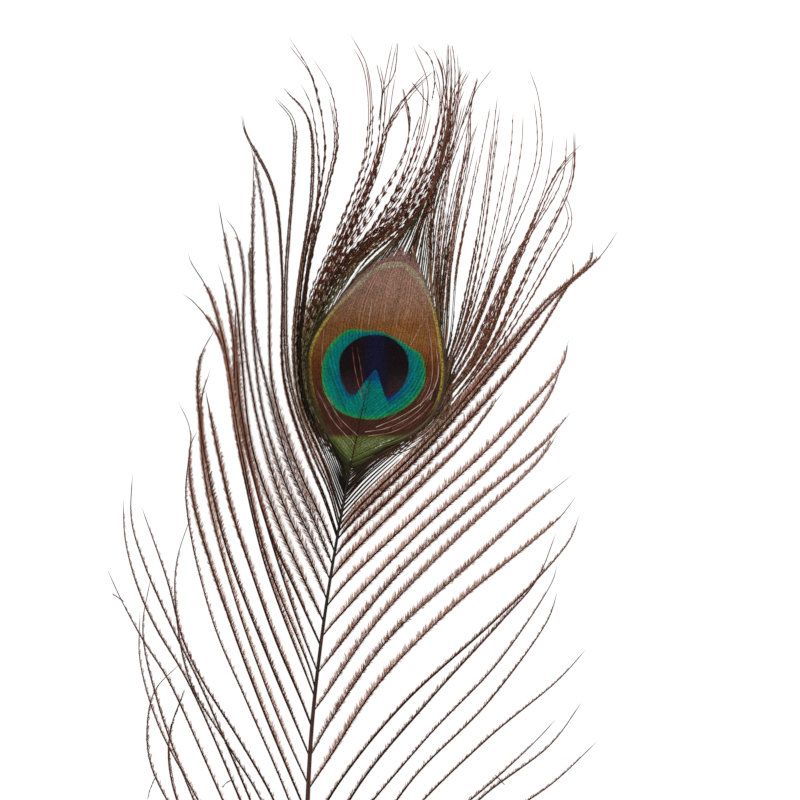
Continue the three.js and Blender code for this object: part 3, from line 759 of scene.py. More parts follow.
@dataclass(frozen=True)
class Coat:
    """How one kind of barb looks: its rod and its rows of barbules."""

    rod: float              # width of the rod at its root
    rod_slim: float         # width beyond the stretch where it slims
    rod_tip: float          # width at its tip
    rows: tuple[Row, ...]
    slims: Stretch = (0.3, 0.5)         # stretch where the rod slims
    root_size: float = 0.4              # size of the barbules at the root, as a share
    full_from: Stretch = (0.0, 0.08)    # stretch over which they reach their full size
    bare_tip: float = 0.06              # share of the length with no barbules at the tip
    dash: float = 0.0                   # distance between the dashes that they stand in; 0: no dashes
    dash_from: Stretch = (0.5, 0.7)     # stretch over which they gather into dashes
    dash_tight: float = 0.7             # how tightly they gather
    shrinks: Stretch = (0.7, 1.0)       # stretch over which the barbules shrink again
    outer_size: float = 0.5             # their size beyond it, as a share

    FLATNESS: ClassVar[float] = 0.8     # height of a rod over its width
    BARE_ROOT: ClassVar[float] = 0.015  # share of the length with no barbules at the root
    DEPTH: ClassVar[float] = 0.1        # how far below the rod's line the barbules are rooted
    HUG: ClassVar[Stretch] = (7.0, 0.5)     # distances from the eye over which a barb takes its hug

    def rod_mesh(self, strands: Strands, rng: Random) -> Mesh:
        """Makes the rods, each with its own tone and a width that varies by 15 %.

        The width runs from rod to rod_slim where the rod slims, then to rod_tip over the last three
        tenths, and the rod comes to a point over the last three hundredths.

        Args:
            strands: the barbs' centre lines.
            rng: source of the random variation.

        Returns:
            The mesh, with the attributes `along`, `barbule` and `tone`.
        """
        count, samples = strands.points.shape[:2]
        t = np.linspace(0.0, 1.0, samples)[None, :]
        width = self.rod + (self.rod_slim - self.rod) * ramp(*self.slims, t)
        width = width + (self.rod_tip - width) * ramp(0.7, 1.0, t)
        half = 0.5 * width * (1 - 0.8 * ramp(0.97, 1.0, t)) * rng.uniform(0.85, 1.15, (count, 1))
        made = rods(strands, half, half * self.FLATNESS)
        made.values["tone"] = np.repeat(rng.uniform(0.0, 1.0, count), samples * CORNERS)
        return made

    def places(self, row: Row, lengths: np.ndarray, rng: Random) -> tuple[np.ndarray, np.ndarray]:
        """Where the barbules of one row stand: evenly spaced, or drawn towards the middles of dashes.

        Args:
            row: the row.
            lengths: length of each barb.
            rng: source of the random variation.

        Returns:
            The number of the barb and the share of its length, for each barbule.
        """
        which, share = even_places(rng, lengths, row.spacing)
        if self.dash:
            arc = share * lengths[which]
            start = rng.uniform(0, self.dash, len(lengths))[which]
            middle = (np.floor((arc + start) / self.dash) + 0.5) * self.dash - start
            drawn = 1 - self.dash_tight * ramp(*self.dash_from, share)
            share = (middle + (arc - middle) * drawn) / lengths[which]
        tip = 1 - self.bare_tip * rng.uniform(0.3, 1.6, len(lengths))[which]
        keep = (share > self.BARE_ROOT) & (share < tip) & (ramp(*row.comes, share) > 0.05)
        return which[keep], share[keep]

    def barbules(self, row: Row, strands: Strands, side: Side, shade: np.ndarray, rng: Random) -> Mesh:
        """Makes one row of barbules.

        Args:
            row: the row.
            strands: the barbs' centre lines.
            side: the vane that they belong to.
            shade: how much lighter each barb is than the middle tone.
            rng: source of the random variation.

        Returns:
            The mesh, with the attributes `along`, `barbule` and `tone`.
        """
        lengths = strands.lengths()
        which, share = self.places(row, lengths, rng)
        count, arc = len(share), share * lengths[which]
        wave = tufts(rng, which, arc)
        fade = self.root_size + (1 - self.root_size) * ramp(*self.full_from, share)
        fade = fade * (1 - (1 - self.outer_size) * ramp(*self.shrinks, share)) * ramp(*row.comes, share)
        size = row.length * (1 + row.tuft * wave) * rng.uniform(0.6, 1.05, count) * fade
        loose = 0.2 * row.angle * tufts(rng, which, arc) + rng.normal(0, 1 + 0.1 * row.angle, count)
        turn = side.value * row.edge * np.radians(row.angle + loose)
        width = row.blade * rng.uniform(0.7, 1.3, count) * (0.5 + 0.5 * fade)
        rise = rng.uniform(-0.12, 0.22, count)
        made = Blades(which, share, turn, size, width, rise).mesh(strands, -self.DEPTH)
        tone = 0.5 + 0.15 * wave + shade[which] + rng.normal(0, 0.08 + 0.004 * row.angle, count)
        made.values["tone"] = np.repeat(np.clip(tone, 0, 1), 4)
        return made

    def clothe(self, strands: Strands, side: Side, rng: Random) -> Mesh:
        """Makes the rods of a set of barbs and all their rows of barbules.

        Args:
            strands: the barbs' centre lines.
            side: the vane that they belong to.
            rng: source of the random variation.

        Returns:
            The mesh, with `along`, `barbule`, `tone` and `hug`, which is 1 beside the eye.
        """
        rod = self.rod_mesh(strands, rng)
        shade = rng.uniform(-0.3, 0.3, strands.count)
        whole = Mesh.joined([rod, *(self.barbules(row, strands, side, shade, rng) for row in self.rows)])
        whole.values["hug"] = ramp(*self.HUG, OVAL.beyond(whole.vertices))
        return whole


BEAD_ROWS = (Row(DISTAL, 1.5, 13, 0.2, 0.24), Row(PROXIMAL, 1.5, 13, 0.22, 0.24))


class Coats(Enum):
    """The kinds of barb on this feather."""

    SLIM = Coat(
        0.46, 0.36, 0.2, (Row(DISTAL, 1.2, 36, 0.16, 0.13, 0.5), Row(PROXIMAL, 0.7, 28, 0.5, 0.12, 0.5)),
        slims=(0.2, 0.6), root_size=0.7)
    STRONG = Coat(
        0.54, 0.46, 0.22, (Row(DISTAL, 1.5, 38, 0.13, 0.13), Row(PROXIMAL, 0.7, 26, 0.4, 0.12, 0.4)),
        slims=(0.4, 0.8))
    LEAN = Coat(
        0.44, 0.4, 0.24, (Row(DISTAL, 1.8, 42, 0.1, 0.13, 0.12), Row(DISTAL, 0.9, 34, 0.14, 0.14),
                          Row(PROXIMAL, 1.4, 30, 0.14, 0.13, 0.2, comes=(0.35, 0.65))),
        root_size=0.35, full_from=(0.0, 0.2), shrinks=(0.8, 1.0))
    FURRY = Coat(
        0.34, 0.28, 0.17, (Row(DISTAL, 2.5, 44, 0.1, 0.12, 0.15), Row(DISTAL, 1.4, 36, 0.12, 0.13),
                           Row(PROXIMAL, 1.1, 30, 0.2, 0.12, 0.4)),
        root_size=0.45, full_from=(0.0, 0.14), shrinks=(0.55, 1.0), outer_size=0.6)
    TUFTED = Coat(
        0.44, 0.34, 0.2, (Row(DISTAL, 2.6, 42, 0.09, 0.13, 0.22), Row(DISTAL, 1.5, 32, 0.12, 0.14),
                          Row(PROXIMAL, 1.7, 28, 0.12, 0.13)),
        shrinks=(0.5, 0.8))
    HERRING = Coat(
        0.42, 0.36, 0.24, (Row(DISTAL, 2.6, 34, 0.12, 0.13, 0.2),
                           Row(PROXIMAL, 2.4, 32, 0.13, 0.13, 0.2)),
        root_size=0.5, full_from=(0.0, 0.15), shrinks=(0.28, 0.5))
    BAND = Coat(
        0.44, 0.28, 0.2, (Row(DISTAL, 1.5, 28, 0.18, 0.14, 0.2),
                          Row(PROXIMAL, 1.3, 26, 0.22, 0.14, 0.2)),
        slims=(0.05, 0.2), full_from=(0.0, 0.2), shrinks=(0.3, 0.6), outer_size=0.6)
    SHEAF = Coat(
        0.42, 0.2, 0.17, (Row(DISTAL, 1.5, 14, 0.22, 0.17), Row(PROXIMAL, 1.4, 12, 0.26, 0.17),
                          Row(DISTAL, 1.3, 38, 0.17, 0.12, comes=(0.18, 0.08))),
        slims=(0.05, 0.2), root_size=0.3, full_from=(0.28, 0.5), dash=2.9, dash_from=(0.45, 0.68),
        dash_tight=0.64, shrinks=(0.55, 0.85), outer_size=0.6)
    SHEET = Coat(
        0.42, 0.18, 0.17, (Row(DISTAL, 1.4, 13, 0.22, 0.17), Row(PROXIMAL, 1.3, 12, 0.25, 0.17)),
        slims=(0.05, 0.2), root_size=0.12, full_from=(0.26, 0.48), dash=2.9, dash_from=(0.45, 0.66),
        dash_tight=0.64, shrinks=(0.45, 0.8))
    DARK = Coat(
        0.42, 0.28, 0.17, (Row(DISTAL, 1.3, 13, 0.18, 0.18), Row(PROXIMAL, 1.2, 12, 0.2, 0.18)),
        slims=(0.04, 0.12), full_from=(0.1, 0.2), dash=3.0, dash_from=(0.5, 0.72), dash_tight=0.6,
        outer_size=0.7)
    RISING = Coat(
        0.42, 0.15, 0.2, BEAD_ROWS, slims=(0.03, 0.12), root_size=0.12, full_from=(0.12, 0.3),
        bare_tip=0.2, dash=3.0, dash_from=(0.22, 0.45))
    BEADED = Coat(
        0.42, 0.14, 0.2, BEAD_ROWS, slims=(0.03, 0.1), root_size=0.12, full_from=(0.14, 0.34),
        bare_tip=0.22, dash=2.9, dash_from=(0.28, 0.46))
    ROOT = Coat(
        0.42, 0.36, 0.2, (Row(DISTAL, 0.8, 16, 0.3, 0.13),),
        slims=(0.2, 0.6), root_size=0.3, full_from=(0.1, 0.5))
    FRINGE = Coat(
        0.32, 0.2, 0.16, (Row(DISTAL, 1.2, 8, 0.5, 0.22), Row(PROXIMAL, 1.1, 8, 0.6, 0.2)),
        slims=(0.15, 0.5), root_size=0.6, full_from=(0.0, 0.2), bare_tip=0.2, dash=2.8,
        dash_from=(0.4, 0.6))
    LOCK = Coat(
        0.26, 0.15, 0.15, (Row(DISTAL, 1.1, 10, 0.42, 0.17), Row(PROXIMAL, 1.0, 9, 0.5, 0.16)),
        slims=(0.15, 0.4), root_size=0.6, bare_tip=0.15, dash=2.8, dash_from=(0.2, 0.4), dash_tight=0.62)
    WISP = Coat(
        0.14, 0.2, 0.16, (Row(DISTAL, 1.0, 9, 0.4, 0.2), Row(PROXIMAL, 0.9, 9, 0.6, 0.18)),
        slims=(0.1, 0.3), root_size=0.8, full_from=(0.0, 0.1), bare_tip=0.25, dash=2.8,
        dash_from=(0.0, 0.3))


# ---------------------------------------------------------------- finishes

Colour = tuple[float, float, float, float]
Stop = tuple[float, Colour]


def tint(red: float, green: float, blue: float) -> Colour:
    """Turns display values from 0 to 255 into the linear colour that shaders take."""
    shares = (value / 255 for value in (red, green, blue))
    return (*(c / 12.92 if c <= 0.04045 else ((c + 0.055) / 1.055) ** 2.4 for c in shares), 1.0)


class Wiring:
    """Adds nodes to one tree and joins them. A source is a socket or a plain value."""

    def __init__(self, tree: bpy.types.NodeTree) -> None:
        """Keeps the tree that the nodes go to."""
        self.tree = tree

    def node(self, kind: str, **settings: object) -> bpy.types.Node:
        """A new node of a kind, with its settings."""
        made = self.tree.nodes.new(kind)
        for name, value in settings.items():
            setattr(made, name, value)
        return made

    def feed(self, socket: Socket, source: object) -> None:
        """Links a socket to another, or sets its plain value."""
        if isinstance(source, Socket):
            self.tree.links.new(source, socket)
        else:
            socket.default_value = source

    def made(self, kind: str, output: str | int, sources: dict, **settings: object) -> Socket:
        """Adds a node and feeds it.

        Args:
            kind: the node's type.
            output: name or number of the output that is wanted.
            sources: what each input takes, by its name or number.
            settings: the node's own settings.

        Returns:
            The output.
        """
        node = self.node(kind, **settings)
        for name, source in sources.items():
            self.feed(node.inputs[name], source)
        return node.outputs[output]

    def attribute(self, name: str) -> Socket:
        """The value of a mesh attribute."""
        return self.made("ShaderNodeAttribute", "Fac", {}, attribute_name=name)

    def math(self, operation: str, a: object, b: object = 0.0, clamp: bool = False) -> Socket:
        """A number worked out from two others, or from the first alone."""
        return self.made("ShaderNodeMath", 0, {0: a, 1: b}, operation=operation, use_clamp=clamp)

    def times(self, *factors: object) -> Socket:
        """The product of numbers."""
        return reduce(lambda a, b: self.math("MULTIPLY", a, b), factors)

    def scaled(self, colour: object, share: object) -> Socket:
        """A colour made lighter or darker by a factor."""
        return self.made("ShaderNodeVectorMath", 0, {0: colour, "Scale": share}, operation="SCALE")

    def span(self, value: object, low: float, high: object, to: Stretch = (0.0, 1.0)) -> Socket:
        """A value carried smoothly from low..high to the range to, and held beyond it."""
        sources = {"Value": value, "From Min": low, "From Max": high, "To Min": to[0], "To Max": to[1]}
        return self.made("ShaderNodeMapRange", "Result", sources, interpolation_type="SMOOTHSTEP")

    def mix(self, share: object, a: object, b: object) -> Socket:
        """Two colours mixed by a share."""
        return self.made("ShaderNodeMix", 2, {"Factor": share, 6: a, 7: b}, data_type="RGBA")

    def colours(self, value: object, stops: Sequence[Stop]) -> Socket:
        """A colour ramp read at a value, and held beyond its first and last stop.

        Args:
            value: where it is read.
            stops: places from 0 to 1 with their colours, in order.

        Returns:
            The colour.
        """
        made = self.node("ShaderNodeValToRGB")
        self.feed(made.inputs["Fac"], value)
        elements = made.color_ramp.elements
        elements[0].position, elements[0].color = stops[0]
        elements[1].position, elements[1].color = stops[-1]
        for position, colour in stops[1:-1]:
            elements.new(position).color = colour
        return made.outputs["Color"]

    def noise(self, vector: object, scale: float, detail: float = 3.0) -> Socket:
        """Plain noise of a scale per metre."""
        sources = {"Vector": vector, "Scale": scale, "Detail": detail}
        return self.made("ShaderNodeTexNoise", "Fac", sources)


def grain_group() -> bpy.types.NodeTree:
    """The uneven, fibrous look that every part of the feather shares, as a shader node group.

    Two noises, one broad and one as fine as a barbule, darken and lighten the colour by the amount
    given, and the fine one is put out as a height.

    Returns:
        The node group, with the inputs Vector, Colour and Amount and the outputs Colour and Height.
    """
    group = bpy.data.node_groups.new("Fibre grain", "ShaderNodeTree")
    for name, way, kind in (("Vector", "INPUT", "Vector"), ("Colour", "INPUT", "Color"),
                            ("Amount", "INPUT", "Float"), ("Colour", "OUTPUT", "Color"),
                            ("Height", "OUTPUT", "Float")):
        group.interface.new_socket(name, in_out=way, socket_type=f"NodeSocket{kind}")
    wire = Wiring(group)
    given = wire.node("NodeGroupInput").outputs
    result = wire.node("NodeGroupOutput").inputs
    broad = wire.noise(given["Vector"], 260.0, 2.0)
    fine = wire.noise(given["Vector"], 2600.0, 2.0)
    swing = wire.math("ADD", wire.times(broad, 0.8), wire.times(fine, 1.2))
    swing = wire.times(wire.math("SUBTRACT", swing, 1.0), given["Amount"])
    wire.feed(result["Colour"], wire.scaled(given["Colour"], wire.math("ADD", swing, 1.0)))
    wire.feed(result["Height"], fine)
    return group


class Finish:
    """A material under construction: its wiring, its shader and the shared grain."""

    BUMP_DEPTH = 0.0001     # metres

    def __init__(self, name: str, grain: bpy.types.NodeTree) -> None:
        """Starts a material with one Principled shader.

        Args:
            name: the material's name.
            grain: the shared grain group.
        """
        self.material = bpy.data.materials.new(name)
        self.material.use_nodes = True
        self.wire = Wiring(self.material.node_tree)
        self.shader = self.material.node_tree.nodes["Principled BSDF"]
        self.grain = grain
        self.place = self.wire.node("ShaderNodeTexCoord").outputs["Object"]

    def wear(self, colour: object, amount: float, bump: float, specular: float) -> None:
        """Gives the shader a colour through the grain group, a slight bump and a plain specular level.

        Args:
            colour: the colour before the grain.
            amount: how much the grain darkens and lightens it.
            bump: strength of the bump.
            specular: the specular level.
        """
        wire = self.wire
        group = wire.node("ShaderNodeGroup", node_tree=self.grain)
        wire.feed(group.inputs["Vector"], self.place)
        wire.feed(group.inputs["Colour"], colour)
        group.inputs["Amount"].default_value = amount
        wire.feed(self.shader.inputs["Base Color"], group.outputs["Colour"])
        relief = wire.node("ShaderNodeBump")
        relief.inputs["Strength"].default_value = bump
        relief.inputs["Distance"].default_value = self.BUMP_DEPTH
        wire.feed(relief.inputs["Height"], group.outputs["Height"])
        wire.feed(self.shader.inputs["Normal"], relief.outputs["Normal"])
        self.shader.inputs["Specular IOR Level"].default_value = specular


@dataclass(frozen=True)
class BarbFinish:
    """Colours of one kind of barb: its rod, and its barbules from dark to light."""

    name: str
    rod_root: Colour
    rod_tip: Colour
    dark: Colour
    middle: Colour
    light: Colour
    tip: Colour             # what the outer part of the barb turns to
    hug: Colour             # what barbs turn to where they hug the eye
    hug_light: Colour       # the lightest of them there

    PALE: ClassVar[Colour] = tint(232, 206, 192)

    @classmethod
    def of(cls, name: str, *shades: tuple[int, int, int]) -> "BarbFinish":
        """A finish from its display colours, in the order of the fields."""
        return cls(name, *(tint(*shade) for shade in shades))

    def dress(self, grain: bpy.types.NodeTree) -> bpy.types.Material:
        """Builds the material: rod and barbule colours by tone and by the share of the length.

        Args:
            grain: the shared grain group.

        Returns:
            The material.
        """
        made = Finish(self.name, grain)
        wire = made.wire
        along, tone, barbule = (wire.attribute(name) for name in ("along", "tone", "barbule"))
        rod = wire.mix(wire.span(along, 0.3, 1.0), self.rod_root, self.rod_tip)
        outer = wire.math("ADD", tone, wire.span(barbule, 0.5, 1.0, (-0.25, 0.2)), clamp=True)
        stops = [(0.0, self.dark), (0.45, self.middle), (0.85, self.light), (1.0, self.PALE)]
        cover = wire.mix(wire.span(along, 0.35, 0.85, (0.0, 0.6)), wire.colours(outer, stops), self.tip)
        colour = wire.mix(wire.span(barbule, 0.1, 0.4), rod, cover)
        hug = wire.colours(tone, [(0.45, self.hug), (0.8, self.hug_light)])
        colour = wire.mix(wire.times(wire.attribute("hug"), 0.85), colour, hug)
        rough = wire.span(wire.noise(made.place, 900.0), 0.3, 0.7, (0.45, 0.7))
        wire.feed(made.shader.inputs["Roughness"], rough)
        made.wear(colour, 0.5, 0.3, 0.05)
        return made.material


PLUME_FINISH = BarbFinish.of(
    "Loose barbs", (38, 20, 14), (66, 40, 30), (88, 48, 34), (148, 94, 74), (188, 132, 108),
    (156, 102, 78), (60, 48, 26), (110, 90, 60))
FURRY_FINISH = BarbFinish.of(
    "Furry barbs", (38, 20, 14), (96, 62, 48), (104, 58, 42), (168, 112, 90), (200, 146, 122),
    (170, 116, 88), (60, 48, 26), (110, 90, 60))
TUFTED_FINISH = BarbFinish.of(
    "Tufted barbs", (34, 17, 12), (84, 50, 36), (78, 40, 28), (140, 86, 66), (190, 134, 112),
    (150, 96, 74), (60, 48, 26), (110, 90, 60))
BAND_FINISH = BarbFinish.of(
    "Close barbs", (30, 16, 11), (62, 36, 25), (64, 34, 24), (132, 82, 64), (190, 138, 116),
    (112, 68, 48), (40, 34, 18), (110, 92, 66))
RISING_FINISH = BarbFinish.of(
    "Rising barbs", (28, 20, 13), (116, 58, 38), (30, 17, 11), (64, 34, 22), (118, 72, 52),
    (96, 48, 32), (34, 30, 16), (128, 118, 78))
DARK_FINISH = BarbFinish.of(
    "Dark barbs", (22, 17, 11), (104, 60, 42), (24, 17, 11), (36, 25, 16), (66, 46, 32),
    (84, 50, 34), (15, 13, 8), (46, 41, 27))
SHEAF_FINISH = BarbFinish.of(
    "Sheaved barbs", (36, 22, 15), (116, 64, 44), (54, 29, 20), (114, 66, 48), (176, 120, 98),
    (118, 66, 46), (50, 38, 24), (150, 114, 88))
FRINGE_FINISH = BarbFinish.of(
    "Fringe barbs", (50, 46, 28), (120, 76, 60), (44, 33, 21), (88, 58, 42), (142, 100, 82),
    (116, 72, 56), (52, 49, 28), (124, 114, 78))


class EyeFinish:
    """The eye's markings, read from how far each point lies beyond the oval, the disc and the heart."""

    HEART_DARK = tint(30, 20, 23)
    HEART_BROWN = tint(66, 48, 50)
    HEART_GLOW = tint(27, 27, 60)
    BLUE = tint(12, 64, 150)
    TEAL = tint(4, 138, 126)
    GREEN = tint(22, 150, 106)
    BRIGHT_GREEN = tint(56, 158, 80)
    MAROON = tint(76, 42, 30)
    RUST = tint(116, 62, 30)
    BRONZE = tint(140, 92, 48)
    MAUVE = tint(164, 126, 108)
    YELLOW_GREEN = tint(188, 172, 76)
    SAGE = tint(176, 170, 138)
    OLIVE = tint(108, 122, 58)
    FRINGE_TOP = tint(154, 114, 106)
    FRINGE_LEFT = tint(66, 58, 36)
    FRINGE_RIGHT = tint(98, 76, 62)

    def __init__(self, grain: bpy.types.NodeTree) -> None:
        """Starts the material and reads where each point lies, in millimetres.

        Args:
            grain: the shared grain group.
        """
        self.made = Finish("Eye vane", grain)
        self.wire = self.made.wire
        apart = self.wire.node("ShaderNodeSeparateXYZ")
        self.wire.feed(apart.inputs[0], self.made.place)
        across, along = (self.wire.math("DIVIDE", apart.outputs[axis], MM) for axis in "XY")
        self.along = self.wire.math("SUBTRACT", along, EYE_CENTRE[1])       # towards the feather's tip
        self.across = self.wire.math("SUBTRACT", across, EYE_CENTRE[0])     # to the right
        self.aside = self.wire.math("ABSOLUTE", self.across)
        self.oval, self.disc, self.heart = map(self.wire.attribute, ("oval", "disc", "heart"))

    def with_field(self) -> Socket:
        """The bronze field, lighter to the right, and the pale line just inside the oval.

        Returns:
            The colour.
        """
        wire = self.wire
        ground = wire.colours(wire.span(self.along, -22, 22), [
            (0.22, self.MAROON), (0.45, self.RUST), (0.62, self.BRONZE), (0.76, self.BRONZE),
            (0.98, self.MAUVE)])
        ground = wire.scaled(ground, wire.span(self.across, -14, 12, (0.88, 1.12)))
        line = wire.mix(wire.span(self.along, 8, 18), self.YELLOW_GREEN, self.SAGE)
        line = wire.mix(wire.span(self.along, -16, -8, (0.6, 0.0)), line, self.OLIVE)
        edge = wire.math("ADD", self.oval, wire.span(self.along, 12, 20, (0.1, 0.8)))
        plain_left = wire.times(wire.span(self.across, -12, -8, (1.0, 0.0)),
                                wire.span(self.along, -2, 4, (0.7, 0.0)))
        drawn = wire.times(
            wire.span(edge, -0.65, -0.35),
            wire.span(self.along, -17, -9),
            wire.math("SUBTRACT", 1.0, plain_left),
            wire.span(wire.noise(self.made.place, 2200.0), 0.38, 0.58, (0.3, 1.0)))
        return wire.mix(drawn, ground, line)

    def with_surround(self, colour: Socket) -> Socket:
        """Lays the loose ends beyond the oval and its olive foot over a colour.

        Args:
            colour: the field.

        Returns:
            The colour.
        """
        wire = self.wire
        outside = wire.mix(wire.span(self.across, -8, 8), self.FRINGE_LEFT, self.FRINGE_RIGHT)
        outside = wire.mix(wire.span(self.along, 8, 20), outside, self.FRINGE_TOP)
        colour = wire.mix(wire.span(self.oval, -0.05, 0.25), colour, outside)
        foot = wire.times(
            wire.span(self.along, -20.8, -19.4, (0.85, 0.0)),
            wire.span(self.along, -32, -24),
            wire.span(self.oval, 0.4, 1.6, (1.0, 0.2)))
        return wire.mix(foot, colour, self.OLIVE)

    def with_disc(self, colour: Socket) -> Socket:
        """Lays the blue-green disc over a colour: green at its rim, and blue close to the heart.

        Args:
            colour: what lies round it.

        Returns:
            The colour.
        """
        wire = self.wire
        ring = wire.colours(wire.span(self.disc, -3.2, 0.2), [
            (0.55, self.TEAL), (0.85, self.GREEN), (1.0, self.BRIGHT_GREEN)])
        reach = wire.span(self.aside, 0.0, 2.5, (6.0, 2.4))
        glow = wire.times(
            wire.span(self.heart, 0.0, reach, (1.0, 0.0)),
            wire.span(self.along, -7, 0, (1.0, 0.35)),
            wire.span(self.aside, 2, 8, (1.0, 0.5)))
        ring = wire.mix(glow, ring, self.BLUE)
        return wire.mix(wire.span(self.disc, -0.12, 0.2, (1.0, 0.0)), colour, ring)

    def with_heart(self, colour: Socket) -> Socket:
        """Lays the dark heart over a colour: brown in its lobes, with a violet glow down its middle.

        Args:
            colour: what lies round it.

        Returns:
            The colour.
        """
        wire = self.wire
        core = wire.mix(wire.span(self.aside, 0.5, 4.2, (1.0, 0.0)), self.HEART_DARK, self.HEART_GLOW)
        lobes = wire.times(wire.span(self.along, -10, -2, (0.8, 0.0)), wire.span(self.aside, 1.5, 4))
        core = wire.mix(lobes, core, self.HEART_BROWN)
        return wire.mix(wire.span(self.heart, -0.3, 0.15, (1.0, 0.0)), colour, core)

    def dress(self) -> bpy.types.Material:
        """Builds the material: the zones laid over each other from outside in, shaded barb by barb.

        Returns:
            The material.
        """
        wire, shader = self.wire, self.made.shader
        colour = self.with_heart(self.with_disc(self.with_surround(self.with_field())))
        shade = wire.math("ADD", wire.times(wire.attribute("tone"), 1.1), 0.5)
        wire.feed(shader.inputs["Metallic"], wire.span(self.disc, -0.4, 0.6, (0.3, 0.05)))
        wire.feed(shader.inputs["Roughness"], wire.span(self.disc, -0.4, 0.6, (0.42, 0.55)))
        self.made.wear(wire.scaled(colour, shade), 0.5, 0.25, 0.12)
        return self.made.material


class ShaftFinish:
    """Horn: reddish brown low down, near black towards the eye, pale pith where it is cut."""

    HORN_LOW = tint(74, 42, 30)
    HORN_HIGH = tint(26, 17, 14)
    RIDGE = tint(96, 62, 46)
    PITH = tint(206, 190, 164)

    def dress(self, grain: bpy.types.NodeTree) -> bpy.types.Material:
        """Builds the material from the share of the length and from the pith mask.

        Args:
            grain: the shared grain group.

        Returns:
            The material.
        """
        made = Finish("Shaft", grain)
        wire = made.wire
        horn = wire.mix(wire.span(wire.attribute("along"), 0.35, 0.75), self.HORN_LOW, self.HORN_HIGH)
        stretched = {"Vector": made.place, "Scale": (1.0, 0.06, 1.0)}
        streak = wire.made("ShaderNodeMapping", "Vector", stretched)
        lines = wire.span(wire.noise(streak, 3200.0), 0.45, 0.75, (0.0, 0.45))
        colour = wire.mix(wire.attribute("pith"), wire.mix(lines, horn, self.RIDGE), self.PITH)
        wire.feed(made.shader.inputs["Roughness"], wire.span(lines, 0.0, 0.45, (0.4, 0.55)))
        made.wear(colour, 0.3, 0.15, 0.1)
        return made.material


class ThreadFinish:
    """Single threads on the eye, from dark over russet to near white by their tone."""

    SHADES = ((0.0, tint(14, 30, 30)), (0.5, tint(150, 84, 66)), (1.0, tint(226, 206, 190)))

    def dress(self, grain: bpy.types.NodeTree) -> bpy.types.Material:
        """Builds the material from the attribute `tone`."""
        made = Finish("Threads", grain)
        made.wear(made.wire.colours(made.wire.attribute("tone"), self.SHADES), 0.3, 0.1, 0.1)
        return made.material


# ---------------------------------------------------------------- the shaft


